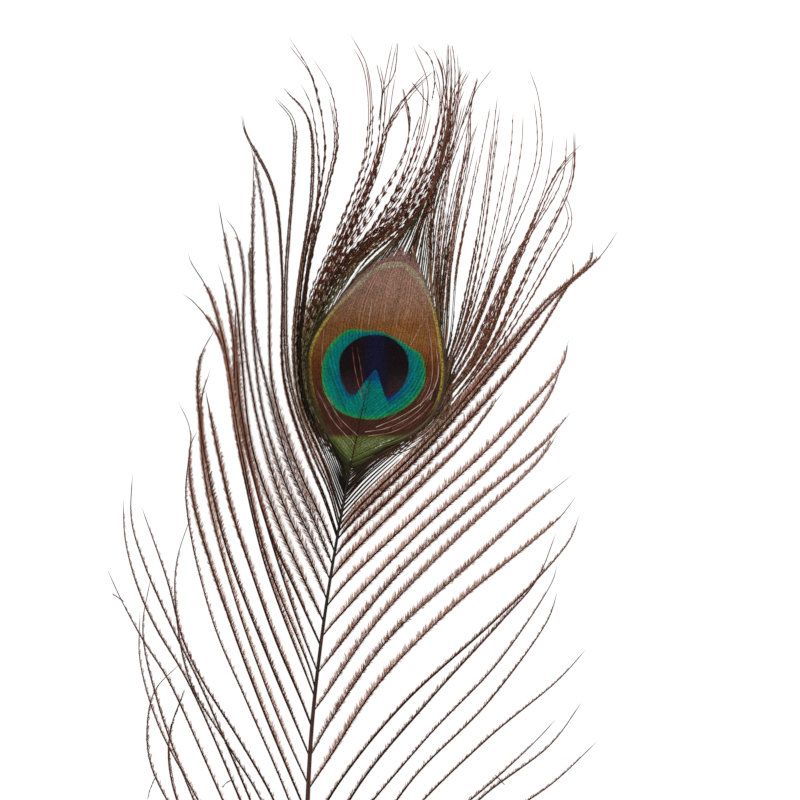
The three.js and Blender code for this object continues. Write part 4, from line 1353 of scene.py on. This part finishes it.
@dataclass
class Shaft:
    """The tapered shaft (rachis): a flat, grooved underside and a rounded back."""

    cut_slant: float = 1.2      # how far the cut leans back over the shaft's height
    groove: float = 0.22        # depth of the groove in the underside, as a share of the width
    groove_width: float = 0.12  # the groove's half width, likewise
    power: float = 2.6          # power of the superellipse that is the section
    flat: float = 0.42          # depth of the flat underside below the section's middle, in widths
    slimness: float = 0.9       # the shown horn's width over the solid's
    proud: float = 0.3          # how far the fine end stands above the vane
    wall: float = 0.28          # the horn's wall round the pith, as a share of the radius
    steps: int = 260
    sides: int = 24

    CUT_WIDTH: ClassVar[float] = 2.4
    TIP_WIDTH: ClassVar[float] = 0.7
    CUT_AT: ClassVar[float] = -96.0     # the station from which the width falls
    TALLNESS: ClassVar[float] = 1.15    # height over width

    @staticmethod
    def width_at(y: float | np.ndarray) -> float | np.ndarray:
        """Width at a station: a smooth step from the cut's width to that of the fine tip."""
        share = ramp(Shaft.CUT_AT, SHAFT_LINE[-1][1], np.asarray(y, float))
        return Shaft.CUT_WIDTH + (Shaft.TIP_WIDTH - Shaft.CUT_WIDTH) * share

    @staticmethod
    def height_at(y: float | np.ndarray) -> float | np.ndarray:
        """Height at a station."""
        return Shaft.TALLNESS * Shaft.width_at(y)

    def section(self) -> tuple[np.ndarray, np.ndarray]:
        """Section in units of the width: a superellipse with a flat bottom and a groove in it.

        Returns:
            Its places across and up, the latter from 0 at the resting face.
        """
        turn = np.linspace(0.0, math.tau, self.sides, endpoint=False) - math.pi / 2
        cos, sin = np.cos(turn), np.sin(turn)
        across = 0.5 * np.sign(cos) * np.abs(cos) ** (2 / self.power)
        up = 0.5 * np.sign(sin) * np.abs(sin) ** (2 / self.power)
        up = np.maximum(up, -self.flat) + self.flat
        groove = self.groove * np.exp(-((across / self.groove_width) ** 2)) * (sin < 0)
        return across, up * self.TALLNESS / (0.5 + self.flat) + groove

    def rings(self) -> np.ndarray:
        """Carries the section along the shaft's line.

        The point at station y is centre + width(y) (across s + up z), where s is the level normal of the
        line. At the cut the ring leans back by the slant times its height. Near the eye the shaft thins
        to a fine ridge that lies on the vane.

        Returns:
            The rings' corners, (steps, sides, 3).
        """
        line = smooth_line(SHAFT_LINE, self.steps)
        y = line[:, 1]
        slope = np.gradient(line, axis=0)
        slope /= np.linalg.norm(slope, axis=1, keepdims=True)
        across, up = self.section()
        fine = 1 - 0.5 * ramp(151.0, 162.0, y) - 0.3 * ramp(162.0, 178.0, y)
        width = self.slimness * self.width_at(y) * fine
        normal = np.stack([slope[:, 1], -slope[:, 0]], axis=1)
        plan = line[:, None] + normal[:, None] * (width[:, None] * across)[..., None]
        missing = np.maximum(eye_height(line) + self.proud - width * self.TALLNESS, 0.0)
        z = width[:, None] * up + (missing * ramp(152.0, 159.0, y))[:, None]
        rings = np.concatenate([plan, z[..., None]], axis=2)
        rings[0, :, 1] += self.cut_slant * z[0] / z[0].max()
        return rings

    def mesh(self) -> Mesh:
        """Closes the tube of rings: a rim of horn and a fan of pith at the cut, and a point at the tip.

        Returns:
            The mesh, with the attributes `along` and `pith`.
        """
        rings = self.rings()
        steps, sides = rings.shape[:2]
        inner = rings[0].mean(axis=0) + (rings[0] - rings[0].mean(axis=0)) * (1 - self.wall)
        inner[:, 1] -= 0.02
        end = rings[-1].mean(axis=0)
        onward = end - rings[-2].mean(axis=0)
        onward[2] = 0.0
        ends = np.stack([inner.mean(axis=0), end + 0.4 * onward / np.linalg.norm(onward)])
        first = steps * sides
        centre = first + sides
        k = np.arange(sides)
        beside = (k + 1) % sides
        last = first - sides
        faces = np.concatenate([
            tube_walls(steps, sides),
            np.stack([k, first + k, first + beside], axis=1),
            np.stack([k, first + beside, beside], axis=1),
            np.stack([first + k, np.full(sides, centre), first + beside], axis=1),
            np.stack([last + k, last + beside, np.full(sides, centre + 1)], axis=1),
        ])
        vertices = np.concatenate([rings.reshape(-1, 3), inner, ends])
        along = np.concatenate([np.repeat(np.linspace(0, 1, steps), sides), np.zeros(sides), [0.0, 1.0]])
        pith = np.zeros(len(vertices))
        pith[first:centre + 1] = 1.0
        return Mesh(vertices, faces[:, ::-1], {"along": along, "pith": pith})

    def build(self, grain: bpy.types.NodeTree) -> None:
        """Makes the shaft's piece."""
        piece = self.mesh().to_piece("shaft", ShaftFinish().dress(grain), "shaft")
        piece.data.polygons.foreach_set("use_smooth", np.ones(len(piece.data.polygons), bool))


# ---------------------------------------------------------------- the eye vane


@dataclass
class EyeVane:
    """The oval plate of the eye: flat barbs side by side, each with short barbules on both edges."""

    left_barbs: int = 58
    right_barbs: int = 62
    samples: int = 72
    roof: float = 0.1               # how far the ridge of a barb stands above its edges
    overlap: float = 1.1            # width of a barb over the distance to its neighbour
    barbule: float = 0.5
    barbule_spacing: float = 0.35
    barbule_width: float = 0.2
    barbule_angle: float = 38.0
    fringe: float = 4.8             # how far the barbs run out past the oval's top
    outer: float = 0.5              # how far barbs lie beside the oval, in leads
    rib: float = 0.06               # half width of the dark rib that shows on some barbs
    rib_every: int = 2
    over: float = 0.02              # how far barbules lie above the ridge
    rib_over: float = 0.03          # how far ribs do
    thread_over: float = 0.12       # how far threads do
    thread_samples: int = 40
    right_slits: tuple[int, int] = (16, 14)     # how many slits lie low on this half, and how many high
    left_slits: tuple[int, int] = (8, 12)

    def flow(self, leads: list[Lead], count: int, rng: Random) -> Strands:
        """Barbs spread evenly between the leading ones and run out past the oval by a random length.

        Args:
            leads: the leading barbs of one half.
            count: how many barbs it has.
            rng: source of the random variation.

        Returns:
            The barbs.
        """
        lines = np.stack([lead_line(lead, 0, self.samples) for lead in leads])
        places = np.linspace(-self.outer, len(leads) - 1.0, count)
        strands = Strands.between(lines, places, 0.0)
        ahead = strands.tangents()[:, -1]
        past = self.fringe * rng.uniform(0.45, 1.0, (count, 1, 1))
        t = np.linspace(0.0, 1.0, self.samples)[None, :, None]
        strands.points = strands.points + ahead[:, None] * past * t**6
        strands.points[..., 2] = eye_height(strands.points) + rng.uniform(-0.04, 0.04, (count, 1))
        return strands

    def widths(self, strands: Strands, rng: Random) -> np.ndarray:
        """Half widths: half the distance to the neighbours, less past the oval and in its foot.

        Args:
            strands: the barbs of one half.
            rng: source of the random variation.

        Returns:
            An array (barbs, points).
        """
        gap = np.diff(strands.points, axis=0)
        across = np.abs((gap * strands.sides()[:-1]).sum(axis=2))
        across = np.concatenate([across, across[-1:]])
        across = 0.5 * (across + np.concatenate([across[:1], across[:-1]]))
        half = 0.5 * self.overlap * np.clip(across, 0.08, 1.2)
        out = OVAL.beyond(strands.points)
        half = half * (1 - 0.2 * ramp(0.8, 1.6, out)) * (1 - 0.7 * ramp(2.5, self.fringe, out))
        t = np.linspace(0.0, 1.0, self.samples)
        low = self.low(strands)
        half = half * (1 - 0.3 * low * ramp(0.01, 0.06, t)) * (1 - 0.5 * low * ramp(-0.6, 0.4, out))
        return half * rng.uniform(0.9, 1.1, (strands.count, 1))

    @staticmethod
    def low(strands: Strands) -> np.ndarray:
        """1 in the foot of the oval, where the barbs part, and 0 above it."""
        return ramp(-19.0, -23.0, strands.points[..., 1] - EYE_CENTRE[1])

    def barbules(self, strands: Strands, hand: int, rng: Random) -> Mesh:
        """Barbules along one edge of every barb. The foot has none beyond the oval.

        Args:
            strands: the barbs of one half.
            hand: 1 for their right edge, -1 for their left one.
            rng: source of the random variation.

        Returns:
            The mesh, with its `tone`.
        """
        which, share = even_places(rng, strands.lengths(), self.barbule_spacing)
        place = strands.sample(which, share)[0]
        covered = (OVAL.beyond(place) < -0.3) | (place[:, 1] > EYE_CENTRE[1] - 15.0)
        keep = (share > 0.004) & (share < 0.99) & covered
        which, share = which[keep], share[keep]
        size = self.barbule * rng.uniform(0.7, 1.3, len(share))
        turn = hand * np.radians(self.barbule_angle + rng.normal(0, 7, len(share)))
        width = self.barbule_width * rng.uniform(0.7, 1.3, len(share))
        rise = rng.uniform(-0.1, 0.02, len(share))
        made = Blades(which, share, turn, size, width, rise).mesh(strands, self.roof + self.over)
        made.values["tone"] = np.repeat(rng.uniform(0.0, 1.0, len(share)), 4)
        return made

    def half_vane(self, leads: list[Lead], count: int, rng: Random) -> Mesh:
        """One half of the vane: roof-shaped barbs, dark ribs on some, and barbules lying over them.

        Args:
            leads: the leading barbs of this half.
            count: how many barbs it has.
            rng: source of the random variation.

        Returns:
            The mesh, with `tone` and its distances beyond the oval, the disc and the heart.
        """
        strands = self.flow(leads, count, rng)
        half = self.widths(strands, rng)
        plate = rods(strands, half, np.full_like(half, self.roof))
        plate.values["tone"] = np.repeat(rng.uniform(0.1, 0.8, count), self.samples * CORNERS)
        chosen = Strands(strands.points[1::self.rib_every] + UP * (self.roof + self.rib_over))
        thin = self.rib * (1 + 2.2 * self.low(chosen)) * rng.uniform(0.5, 1.2, (chosen.count, 1))
        ribs = rods(chosen, thin, thin)
        ribs.values["tone"] = np.repeat(rng.uniform(-0.35, 0.0, chosen.count), self.samples * CORNERS)
        mesh = Mesh.joined([plate, ribs, *(self.barbules(strands, hand, rng) for hand in (-1, 1))])
        for name, outline in (("oval", OVAL), ("disc", DISC), ("heart", HEART)):
            mesh.values[name] = outline.beyond(mesh.vertices)
        return mesh

    def slits(self, leads: list[Lead], counts: tuple[int, int], rng: Random) -> np.ndarray:
        """Plan lines of pale slits between barbs of one half.

        Args:
            leads: the leading barbs of this half.
            counts: how many slits lie low between the outermost barbs, and how many above the disc.
            rng: source of the random variation.

        Returns:
            An array (lines, points, 2).
        """
        lines = np.stack([lead_line(lead, 0, self.thread_samples) for lead in leads])
        places = np.concatenate([np.linspace(0.1, 0.8, counts[0]), np.linspace(0.8, 3.0, counts[1])])
        count = len(places)
        strands = Strands.between(lines, places + rng.uniform(-0.05, 0.0, count), 0.0)
        start = np.where(places > 0.79, rng.uniform(0.55, 0.85, count), rng.uniform(0.12, 0.5, count))
        return strands.trimmed(start, start + rng.uniform(0.04, 0.16, count)).points[..., :2]

    def threads(self) -> Mesh:
        """The single threads that lie on the eye, each as light as its table says, and the slits.

        Returns:
            The mesh, with its `tone`.
        """
        rng = np.random.default_rng(12)
        plans = [np.stack([smooth_line(points, self.thread_samples) for _, _, points in EYE_THREADS])]
        plans.append(self.slits(EYE_RIGHT_FLOW, self.right_slits, rng))
        plans.append(self.slits(EYE_LEFT_FLOW, self.left_slits, rng))
        lines = np.concatenate(plans)
        slits = len(lines) - len(EYE_THREADS)
        lights = np.append([light for light, _, _ in EYE_THREADS], rng.uniform(0.4, 0.62, slits))
        thick = np.append([half for _, half, _ in EYE_THREADS], rng.uniform(0.03, 0.055, slits))
        strands = Strands.raised(lines, eye_height(lines) + self.roof + self.thread_over)
        t = np.linspace(0.0, 1.0, self.thread_samples)[None, :]
        turns = rng.uniform(3, 6, (strands.count, 1)) * t + rng.uniform(0, 1)
        broken = 0.7 + 0.3 * np.sin(math.tau * turns)
        half = thick[:, None] * (1 - 0.6 * ramp(0.6, 1.0, t)) * broken
        mesh = rods(strands, half, half)
        mesh.values["tone"] = np.repeat(lights, self.thread_samples * CORNERS)
        return mesh

    def build(self, grain: bpy.types.NodeTree) -> None:
        """Makes the two halves of the eye vane and the threads on it."""
        finish = EyeFinish(grain).dress()
        rng = np.random.default_rng(11)
        self.half_vane(EYE_LEFT_FLOW, self.left_barbs, rng).to_piece("eye_left", finish, "eye")
        self.half_vane(EYE_RIGHT_FLOW, self.right_barbs, rng).to_piece("eye_right", finish, "eye")
        self.threads().to_piece("eye_threads", ThreadFinish().dress(grain), "eye")


# ---------------------------------------------------------------- the loose barbs


@dataclass
class Run:
    """A run of neighbouring leading barbs that are filled and clothed alike, as one piece."""

    name: str
    side: Side
    first: int
    last: int
    coat: Coats
    finish: BarbFinish
    per_lead: int = 1           # barbs for each leading one
    reach: float = 0.0          # how far they are rooted towards the neighbours, in leads
    splay: float = 0.0          # how far beside their lead they lie beyond the middle of its length
    clump: float = 0.0          # how far those with a reach gather onto the nearer lead again
    drift: float = 0.15
    fan: float = 0.0            # how far tips stray from their lead
    jitter: float = 0.15        # how unevenly they are spread
    opens: Stretch = (0.05, 0.5)    # stretch over which the splay opens
    lean: float = 0.0           # how far the splay is shifted, as a share of it
    ends: float = 1.0           # share of their leads' length that they reach
    ragged: float = 0.0         # share by which tips end early, but for the middle one of several
    samples: int = 76
    seed: int = 1

    SHIFTS: ClassVar[Stretch] = (0.42, 0.56)    # stretch over which the lean sets in
    LAYER: ClassVar[float] = 0.5                # how far the middle of a barb may rise above its lead

    def strands(self, leads: np.ndarray, rng: Random) -> Strands:
        """Lays this run's barbs along and between its leads.

        Args:
            leads: every lead of the vane, (leads, points, 3).
            rng: source of the random variation.

        Returns:
            The strands, outside the eye only.
        """
        chosen = leads[self.first:self.last + 1]
        count = len(chosen) * self.per_lead
        spread, beside, longest = np.zeros(count), 1.0, np.zeros(count, bool)
        if self.per_lead > 1:
            spread = np.tile(np.linspace(-1, 1, self.per_lead), len(chosen))
            spread = spread + rng.uniform(-self.jitter, self.jitter, count)
            beside = np.sign(spread)
            longest = np.arange(count) % self.per_lead == self.per_lead // 2
        places = np.repeat(np.arange(len(chosen), dtype=float), self.per_lead) + self.reach * beside
        strands = Strands.between(chosen, np.clip(places, 0, len(chosen) - 1), self.clump)
        t = np.linspace(0.0, 1.0, leads.shape[1])[None, :]
        shift = spread[:, None] * ramp(*self.opens, t) + self.lean * ramp(*self.SHIFTS, t)
        aside = self.splay * shift * (1 - 0.4 * ramp(0.7, 1.0, t))
        aside = aside + self.fan * rng.normal(0, 1, (count, 1)) * ramp(0.5, 1.1, t)
        strands = strands.shifted(aside + drift(rng, count, leads.shape[1], self.drift))
        early = self.ragged * rng.uniform(0.0, 1.0, count) ** 1.5
        strands = strands.trimmed(0.0, self.ends * (1 - np.where(longest, 0.0, early)))
        layer = rng.uniform(0.0, self.LAYER, (count, 1)) * np.sin(math.pi * t)
        strands = strands.shifted(np.zeros_like(t), layer).outside_eye(near=-0.6, far=2.5, shallow=3.0)
        return strands.trimmed(0.0, 1.0, self.samples)

    def build(self, leads: np.ndarray, material: bpy.types.Material) -> None:
        """Makes the run's piece."""
        rng = np.random.default_rng(self.seed)
        mesh = self.coat.value.clothe(self.strands(leads, rng), self.side, rng)
        mesh.to_piece(self.name, material, "feather")


RUNS = (
    Run("barbs_left_slim", Side.LEFT, 0, 9, Coats.SLIM, PLUME_FINISH, seed=21),
    Run("barbs_left_lower", Side.LEFT, 10, 12, Coats.LEAN, PLUME_FINISH, seed=27),
    Run("barbs_left_low", Side.LEFT, 13, 14, Coats.SLIM, PLUME_FINISH, seed=28),
    Run("barbs_left_upper", Side.LEFT, 15, 19, Coats.LEAN, PLUME_FINISH, seed=29),
    Run("barbs_left_middle", Side.LEFT, 20, 24, Coats.HERRING, BAND_FINISH, seed=22),
    Run("barbs_left_close", Side.LEFT, 25, 27, Coats.BAND, BAND_FINISH, per_lead=2, reach=0.2, clump=0.9,
        jitter=0.1, seed=26),
    Run("barbs_left_tall", Side.LEFT, 28, 30, Coats.DARK, DARK_FINISH, per_lead=3, splay=0.25, fan=0.7,
        jitter=0.1, opens=(0.1, 0.3), ragged=0.45, seed=23),
    Run("barbs_left_crown", Side.LEFT, 31, 35, Coats.RISING, RISING_FINISH, per_lead=4, reach=0.25,
        splay=0.6, clump=1.0, drift=0.25, fan=0.6, opens=(0.2, 0.45), ragged=0.6, seed=24),
    Run("crown_bundle", Side.LEFT, 36, 38, Coats.BEADED, RISING_FINISH, per_lead=8, splay=1.45,
        drift=0.35, fan=2.0, jitter=0.1, opens=(0.16, 0.42), lean=-0.12, ragged=0.5, seed=25),
    Run("barbs_right_slim", Side.RIGHT, 0, 7, Coats.SLIM, PLUME_FINISH, seed=31),
    Run("barbs_right_strong", Side.RIGHT, 8, 9, Coats.STRONG, TUFTED_FINISH, seed=36),
    Run("barbs_right_lower", Side.RIGHT, 10, 15, Coats.FURRY, FURRY_FINISH, seed=37),
    Run("barbs_right_middle", Side.RIGHT, 16, 19, Coats.TUFTED, TUFTED_FINISH, seed=32),
    Run("barbs_right_outer", Side.RIGHT, 20, 23, Coats.SHEAF, SHEAF_FINISH, per_lead=4, splay=0.6,
        fan=0.3, opens=(0.28, 0.55), ragged=0.6, seed=33),
    Run("barbs_right_lock", Side.RIGHT, 24, 25, Coats.SHEET, SHEAF_FINISH, per_lead=4, splay=0.55,
        fan=0.4, opens=(0.22, 0.5), ragged=0.6, seed=39),
    Run("barbs_right_sparse", Side.RIGHT, 26, 27, Coats.SHEET, SHEAF_FINISH, per_lead=2, splay=0.35,
        fan=0.5, opens=(0.25, 0.5), ragged=0.6, seed=40),
    Run("barbs_right_rising", Side.RIGHT, 28, 31, Coats.SHEET, SHEAF_FINISH, per_lead=4, splay=0.5,
        fan=0.5, opens=(0.22, 0.5), ragged=0.85, seed=38),
    Run("roots_left", Side.LEFT, 27, 38, Coats.ROOT, DARK_FINISH, reach=0.5, drift=0.05, ends=0.2,
        ragged=0.5, samples=26, seed=43),
    Run("roots_right", Side.RIGHT, 20, 35, Coats.ROOT, DARK_FINISH, reach=0.5, drift=0.05, ends=0.27,
        ragged=0.5, samples=26, seed=44),
    Run("crown_right", Side.RIGHT, 32, 35, Coats.LOCK, SHEAF_FINISH, per_lead=5, reach=0.1, splay=0.8,
        clump=0.1, drift=0.3, fan=0.8, opens=(-0.2, 0.3), ragged=0.95, seed=35),
)


@dataclass
class LooseBarbs:
    """Both vanes of loose barbs, below and beside the eye and above it."""

    samples: int = 90
    fringe_barbs: int = 54
    fringe_samples: int = 60
    fringe_height: float = 0.15     # where the fringe starts, under the vane's rim
    fringe_arch: float = 1.6        # how far it rises from there
    fringe_drift: float = 0.4
    fringe_clump: float = 0.15
    stray_samples: int = 40
    stray_height: float = 0.3
    stray_arch: float = 1.0

    def leads(self, table: list[Lead]) -> np.ndarray:
        """All leading barbs of one vane as one array."""
        return np.stack([lead_line(lead, index, self.samples) for index, lead in enumerate(table)])

    def fringe(self) -> Mesh:
        """Lays the loose ends that rise from the top of the eye.

        Returns:
            Their clothed mesh.
        """
        rng = np.random.default_rng(41)
        count, samples, last = self.fringe_barbs, self.fringe_samples, len(FRINGE_FLOW) - 1
        plans = np.stack([smooth_line(points, samples) for points in FRINGE_FLOW])
        t = np.linspace(0.0, 1.0, samples)
        height = self.fringe_height + self.fringe_arch * np.sin(math.pi * t) * ramp(0.06, 0.2, t)
        places = last * np.linspace(0, 1, count) ** 1.2 + rng.uniform(-0.03, 0.03, count)
        lines = Strands.raised(plans, height).points
        strands = Strands.between(lines, np.clip(places, 0, last), self.fringe_clump)
        wander = drift(rng, count, samples, self.fringe_drift)
        strands = strands.shifted(wander, rng.uniform(-0.3, 0.6, (count, 1)) * t)
        strands = strands.trimmed(0.0, 1 - 0.7 * rng.uniform(0.0, 1.0, count))
        return Coats.FRINGE.value.clothe(strands, Side.RIGHT, rng)

    def strays(self) -> Mesh:
        """Lays the single barbs that stray, and the broken ends.

        Returns:
            Their clothed mesh.
        """
        rng = np.random.default_rng(51)
        plans = np.stack([smooth_line(points, self.stray_samples) for points in STRAYS])
        arch = np.sin(math.pi * np.linspace(0.0, 1.0, self.stray_samples))
        strands = Strands.raised(plans, self.stray_height + self.stray_arch * arch)
        return Coats.WISP.value.clothe(strands, Side.LEFT, rng)

    def build(self, grain: bpy.types.NodeTree) -> None:
        """Makes every run of barbs, the fringe above the eye and the strays."""
        tables = {Side.LEFT: self.leads(LEFT_LEADS), Side.RIGHT: self.leads(RIGHT_LEADS)}
        dressed = {finish: finish.dress(grain) for finish in dict.fromkeys(run.finish for run in RUNS)}
        for run in RUNS:
            run.build(tables[run.side], dressed[run.finish])
        self.fringe().to_piece("crown_fringe", FRINGE_FINISH.dress(grain), "feather")
        self.strays().to_piece("strays", dressed[RISING_FINISH], "feather")


# ---------------------------------------------------------------- the studio


@dataclass
class Studio:
    """A camera straight above the feather, a pale floor and soft even light."""

    middle: Point = (23.5, 172.5)       # what the camera looks at
    frame_width: float = 200.0          # how much of the floor the picture is wide
    lens: float = 100.0
    sensor: float = 36.0
    feather_height: float = 1.0
    floor_half: float = 1500.0
    floor_glow: float = 0.9
    floor_tint: float = 0.14
    sky: float = 0.95
    lamp_power: float = 4.0             # watts
    lamp_size: float = 700.0
    lamp_place: tuple[float, float, float] = (-350.0, 450.0, 900.0)
    lamp_aim: tuple[float, float, float] = (23.5, 150.0, 0.0)

    def camera(self) -> None:
        """Puts the camera where the frame is frame_width wide at the height of the feather."""
        data = bpy.data.cameras.new("Camera")
        data.lens = self.lens
        data.sensor_width = self.sensor
        held = bpy.data.objects.new("Camera", data)
        distance = self.frame_width * self.lens / self.sensor + self.feather_height
        held.location = (self.middle[0] * MM, self.middle[1] * MM, distance * MM)
        bpy.context.scene.collection.objects.link(held)
        bpy.context.scene.camera = held

    def floor(self) -> None:
        """Lays a flat light table: partly lit from above, partly glowing, so that shadows stay faint."""
        half = self.floor_half * MM
        data = bpy.data.meshes.new("floor")
        data.from_pydata([(-half, -half, 0), (half, -half, 0), (half, half, 0), (-half, half, 0)], [],
                         [(0, 1, 2, 3)])
        material = bpy.data.materials.new("Floor")
        material.use_nodes = True
        shader = material.node_tree.nodes["Principled BSDF"]
        shader.inputs["Base Color"].default_value = (*(self.floor_tint,) * 3, 1)
        shader.inputs["Roughness"].default_value = 0.9
        shader.inputs["Specular IOR Level"].default_value = 0.0
        shader.inputs["Emission Color"].default_value = (1, 1, 1, 1)
        shader.inputs["Emission Strength"].default_value = self.floor_glow
        data.materials.append(material)
        laid = bpy.data.objects.new("floor", data)
        bpy.context.scene.collection.objects.link(laid)

    def lights(self) -> None:
        """A white surround and one large soft lamp from the upper left, turned towards its aim."""
        world = bpy.data.worlds.new("Studio")
        world.use_nodes = True
        surround = world.node_tree.nodes["Background"]
        surround.inputs["Color"].default_value = (1, 1, 1, 1)
        surround.inputs["Strength"].default_value = self.sky
        bpy.context.scene.world = world
        lamp = bpy.data.lights.new("Soft lamp", "AREA")
        lamp.energy = self.lamp_power
        lamp.size = self.lamp_size * MM
        hung = bpy.data.objects.new("Soft lamp", lamp)
        place = np.array(self.lamp_place) * MM
        aim = np.array(self.lamp_aim) * MM - place
        hung.location = place
        hung.rotation_euler = (math.atan2(math.hypot(aim[0], aim[1]), -aim[2]), 0,
                               math.atan2(aim[1], aim[0]) - math.pi / 2)
        bpy.context.scene.collection.objects.link(hung)
        bpy.context.scene.view_settings.view_transform = "Standard"

    def build(self) -> None:
        """Sets up camera, floor and lights."""
        self.camera()
        self.floor()
        self.lights()


def main() -> None:
    logging.basicConfig(level=logging.INFO, format="%(name)s: %(message)s")
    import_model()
    Studio().build()
    grain = grain_group()
    Shaft().build(grain)
    EyeVane().build(grain)
    LooseBarbs().build(grain)
    log.info("boxes written")


if __name__ == "__main__":
    main()
